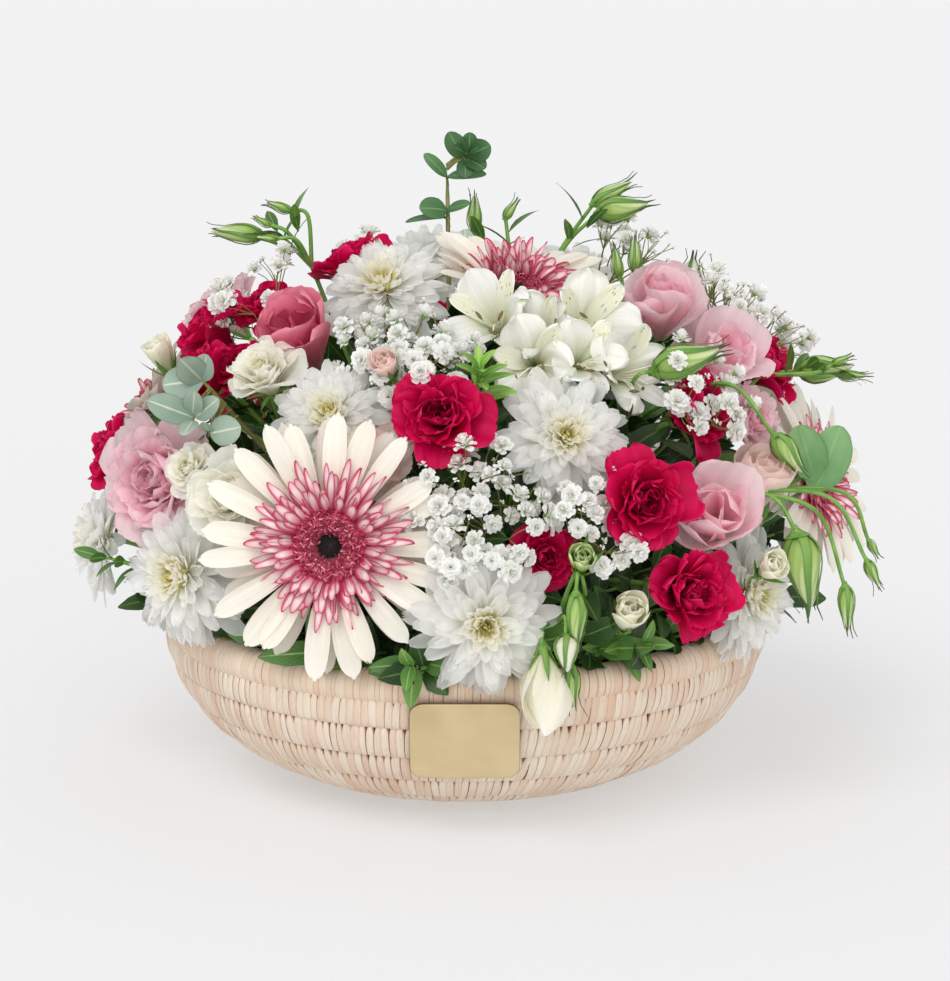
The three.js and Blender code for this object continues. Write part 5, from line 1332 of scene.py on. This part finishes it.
def build_liner_and_foam():
    liner = Piece("liner_dish")
    outer = wall_point(INSIDE_ANGLES, WALL_INSIDE + FIT_GAP)
    inner = wall_point(INSIDE_ANGLES, WALL_INSIDE + FIT_GAP + LINER_THICKNESS)[::-1]
    liner.add(revolve([[1.0, outer[0][1]], *outer, *inner, [1.0, inner[-1][1]]], 96), "liner", closed=True)
    liner.finish("liner", "liner")
    foam = Piece("foam_block", 5)
    side = wall_point(INSIDE_ANGLES[:8], WALL_INSIDE + LINER_THICKNESS + 2 * FIT_GAP)
    grid = revolve([[1.0, side[0][1]], *side, *FOAM_PROFILE], 72)
    foam.add(grid * (1 + (foam.rng.random(grid.shape[:2]) - 0.5)[..., None] * 0.012), "foam", closed=True)
    foam.finish("foam", "foam")


def build_plaque():
    """A thin plate with rounded corners and a soft bevel, leaning with the wall."""
    piece = Piece("plaque_plate")
    w, h = PLAQUE_WIDTH / 2 - PLAQUE_CORNER, PLAQUE_HEIGHT / 2 - PLAQUE_CORNER
    outline = []
    for x, y, start in ((w, -h, -90), (w, h, 0), (-w, h, 90), (-w, -h, 180)):
        for a in np.radians(start + np.linspace(0, 90, 9)):
            outline.append([x + PLAQUE_CORNER * math.cos(a), y + PLAQUE_CORNER * math.sin(a)])
    tangent = unit(wall_point(PLAQUE_ANGLE + 8, 0.0) - wall_point(PLAQUE_ANGLE - 8, 0.0))
    radius, middle = wall_point(PLAQUE_ANGLE, -WALL_COIL - FIT_GAP)
    x_axis = np.array([1.0, 0.0, 0.0])
    up_axis = np.array([0.0, -tangent[0], tangent[1]])
    out_axis = np.cross(x_axis, up_axis)
    t = PLAQUE_THICKNESS
    # [share of the outline, height over the wall] of each ring of points
    rings = [(1e-3, 0.0), (0.98, 0.0), (1.0, 0.1), (1.0, t - 0.3), (0.985, t - 0.08), (0.965, t), (0.93, t),
             (0.5, t), (1e-3, t)]
    grid = np.array([[x_axis * (p[0] * s) + up_axis * (p[1] * s) + out_axis * d for p in outline] for s, d in rings])
    tint = np.zeros(grid.shape)
    # The sides of the plate, which the plaque's look paints with shade.
    tint[1:4, :, 1] = 1.0
    piece.add(grid + [0, -radius, middle], "plaque", tint, closed=True)
    piece.finish("plaque", "plaque")


for build, specs in ((build_plant, STEMS), (build_leafy, LEAFY)):
    for plant_name, spec in specs.items():
        build(plant_name, *spec)
for plant_name, clusters in GYPSOPHILA.items():
    build_gypsophila(plant_name, clusters)
build_filler()
build_basket()
build_liner_and_foam()
build_plaque()


# ---------------------------------------------------------------- stage, light and camera
FLOOR_STOPS = "0 b4b4b5 1 b4b4b5"
FLOOR_REACH, FLOOR_HEIGHT = 30.0, -0.0002
FLOOR_GLOW = 0.4
SKY_STRENGTH = 0.74
LAMPS = {"key": (1.0, 30, -115, 50), "front": (1.0, 50, -84, 14)}  # strength, spread, azimuth and elevation


def placed(name, data):
    thing = bpy.data.objects.new(name, data)
    bpy.context.scene.collection.objects.link(thing)
    return thing


def build_stage():
    mesh = bpy.data.meshes.new("floor")
    corners = [(x * FLOOR_REACH, y * FLOOR_REACH, FLOOR_HEIGHT) for x, y in ((-1, -1), (1, -1), (1, 1), (-1, 1))]
    mesh.from_pydata(corners, [], [(0, 1, 2, 3)])
    mesh.materials.append(plain_look("floor_pale", FLOOR_STOPS, 3.0, 0.0, roughness=0.95, specular_ior_level=0.1,
                                     emission_color=(1, 1, 1, 1), emission_strength=FLOOR_GLOW))
    floor = placed("floor", mesh)
    world = bpy.data.worlds.new("studio")
    bpy.context.scene.world = world
    world.use_nodes = True
    sky = world.node_tree.nodes["Background"].inputs
    sky[0].default_value = (1.0, 1.0, 1.0, 1.0)
    sky[1].default_value = SKY_STRENGTH
    for name, (strength, spread, azimuth, elevation) in LAMPS.items():
        lamp = bpy.data.lights.new(name, "SUN")
        lamp.energy, lamp.angle = strength, math.radians(spread)
        thing = placed(name, lamp)
        thing.rotation_mode = "QUATERNION"
        thing.rotation_quaternion = Vector(direction(azimuth, elevation)).to_track_quat("Z", "Y")


def build_camera():
    camera = bpy.data.cameras.new("camera")
    camera.sensor_width = SENSOR
    camera.lens = SENSOR * CAMERA_DISTANCE / (LONG_SIDE_PIXELS * PIXEL_AT_TARGET)
    thing = placed("camera", camera)
    x, y, z = TARGET
    thing.location = (x, y - CAMERA_DISTANCE * math.cos(CAMERA_ELEVATION),
                      z + CAMERA_DISTANCE * math.sin(CAMERA_ELEVATION))
    thing.rotation_euler = (math.pi / 2 - CAMERA_ELEVATION, 0, 0)
    bpy.context.scene.camera = thing


build_stage()
build_camera()
bpy.context.scene.view_settings.view_transform = "Standard"
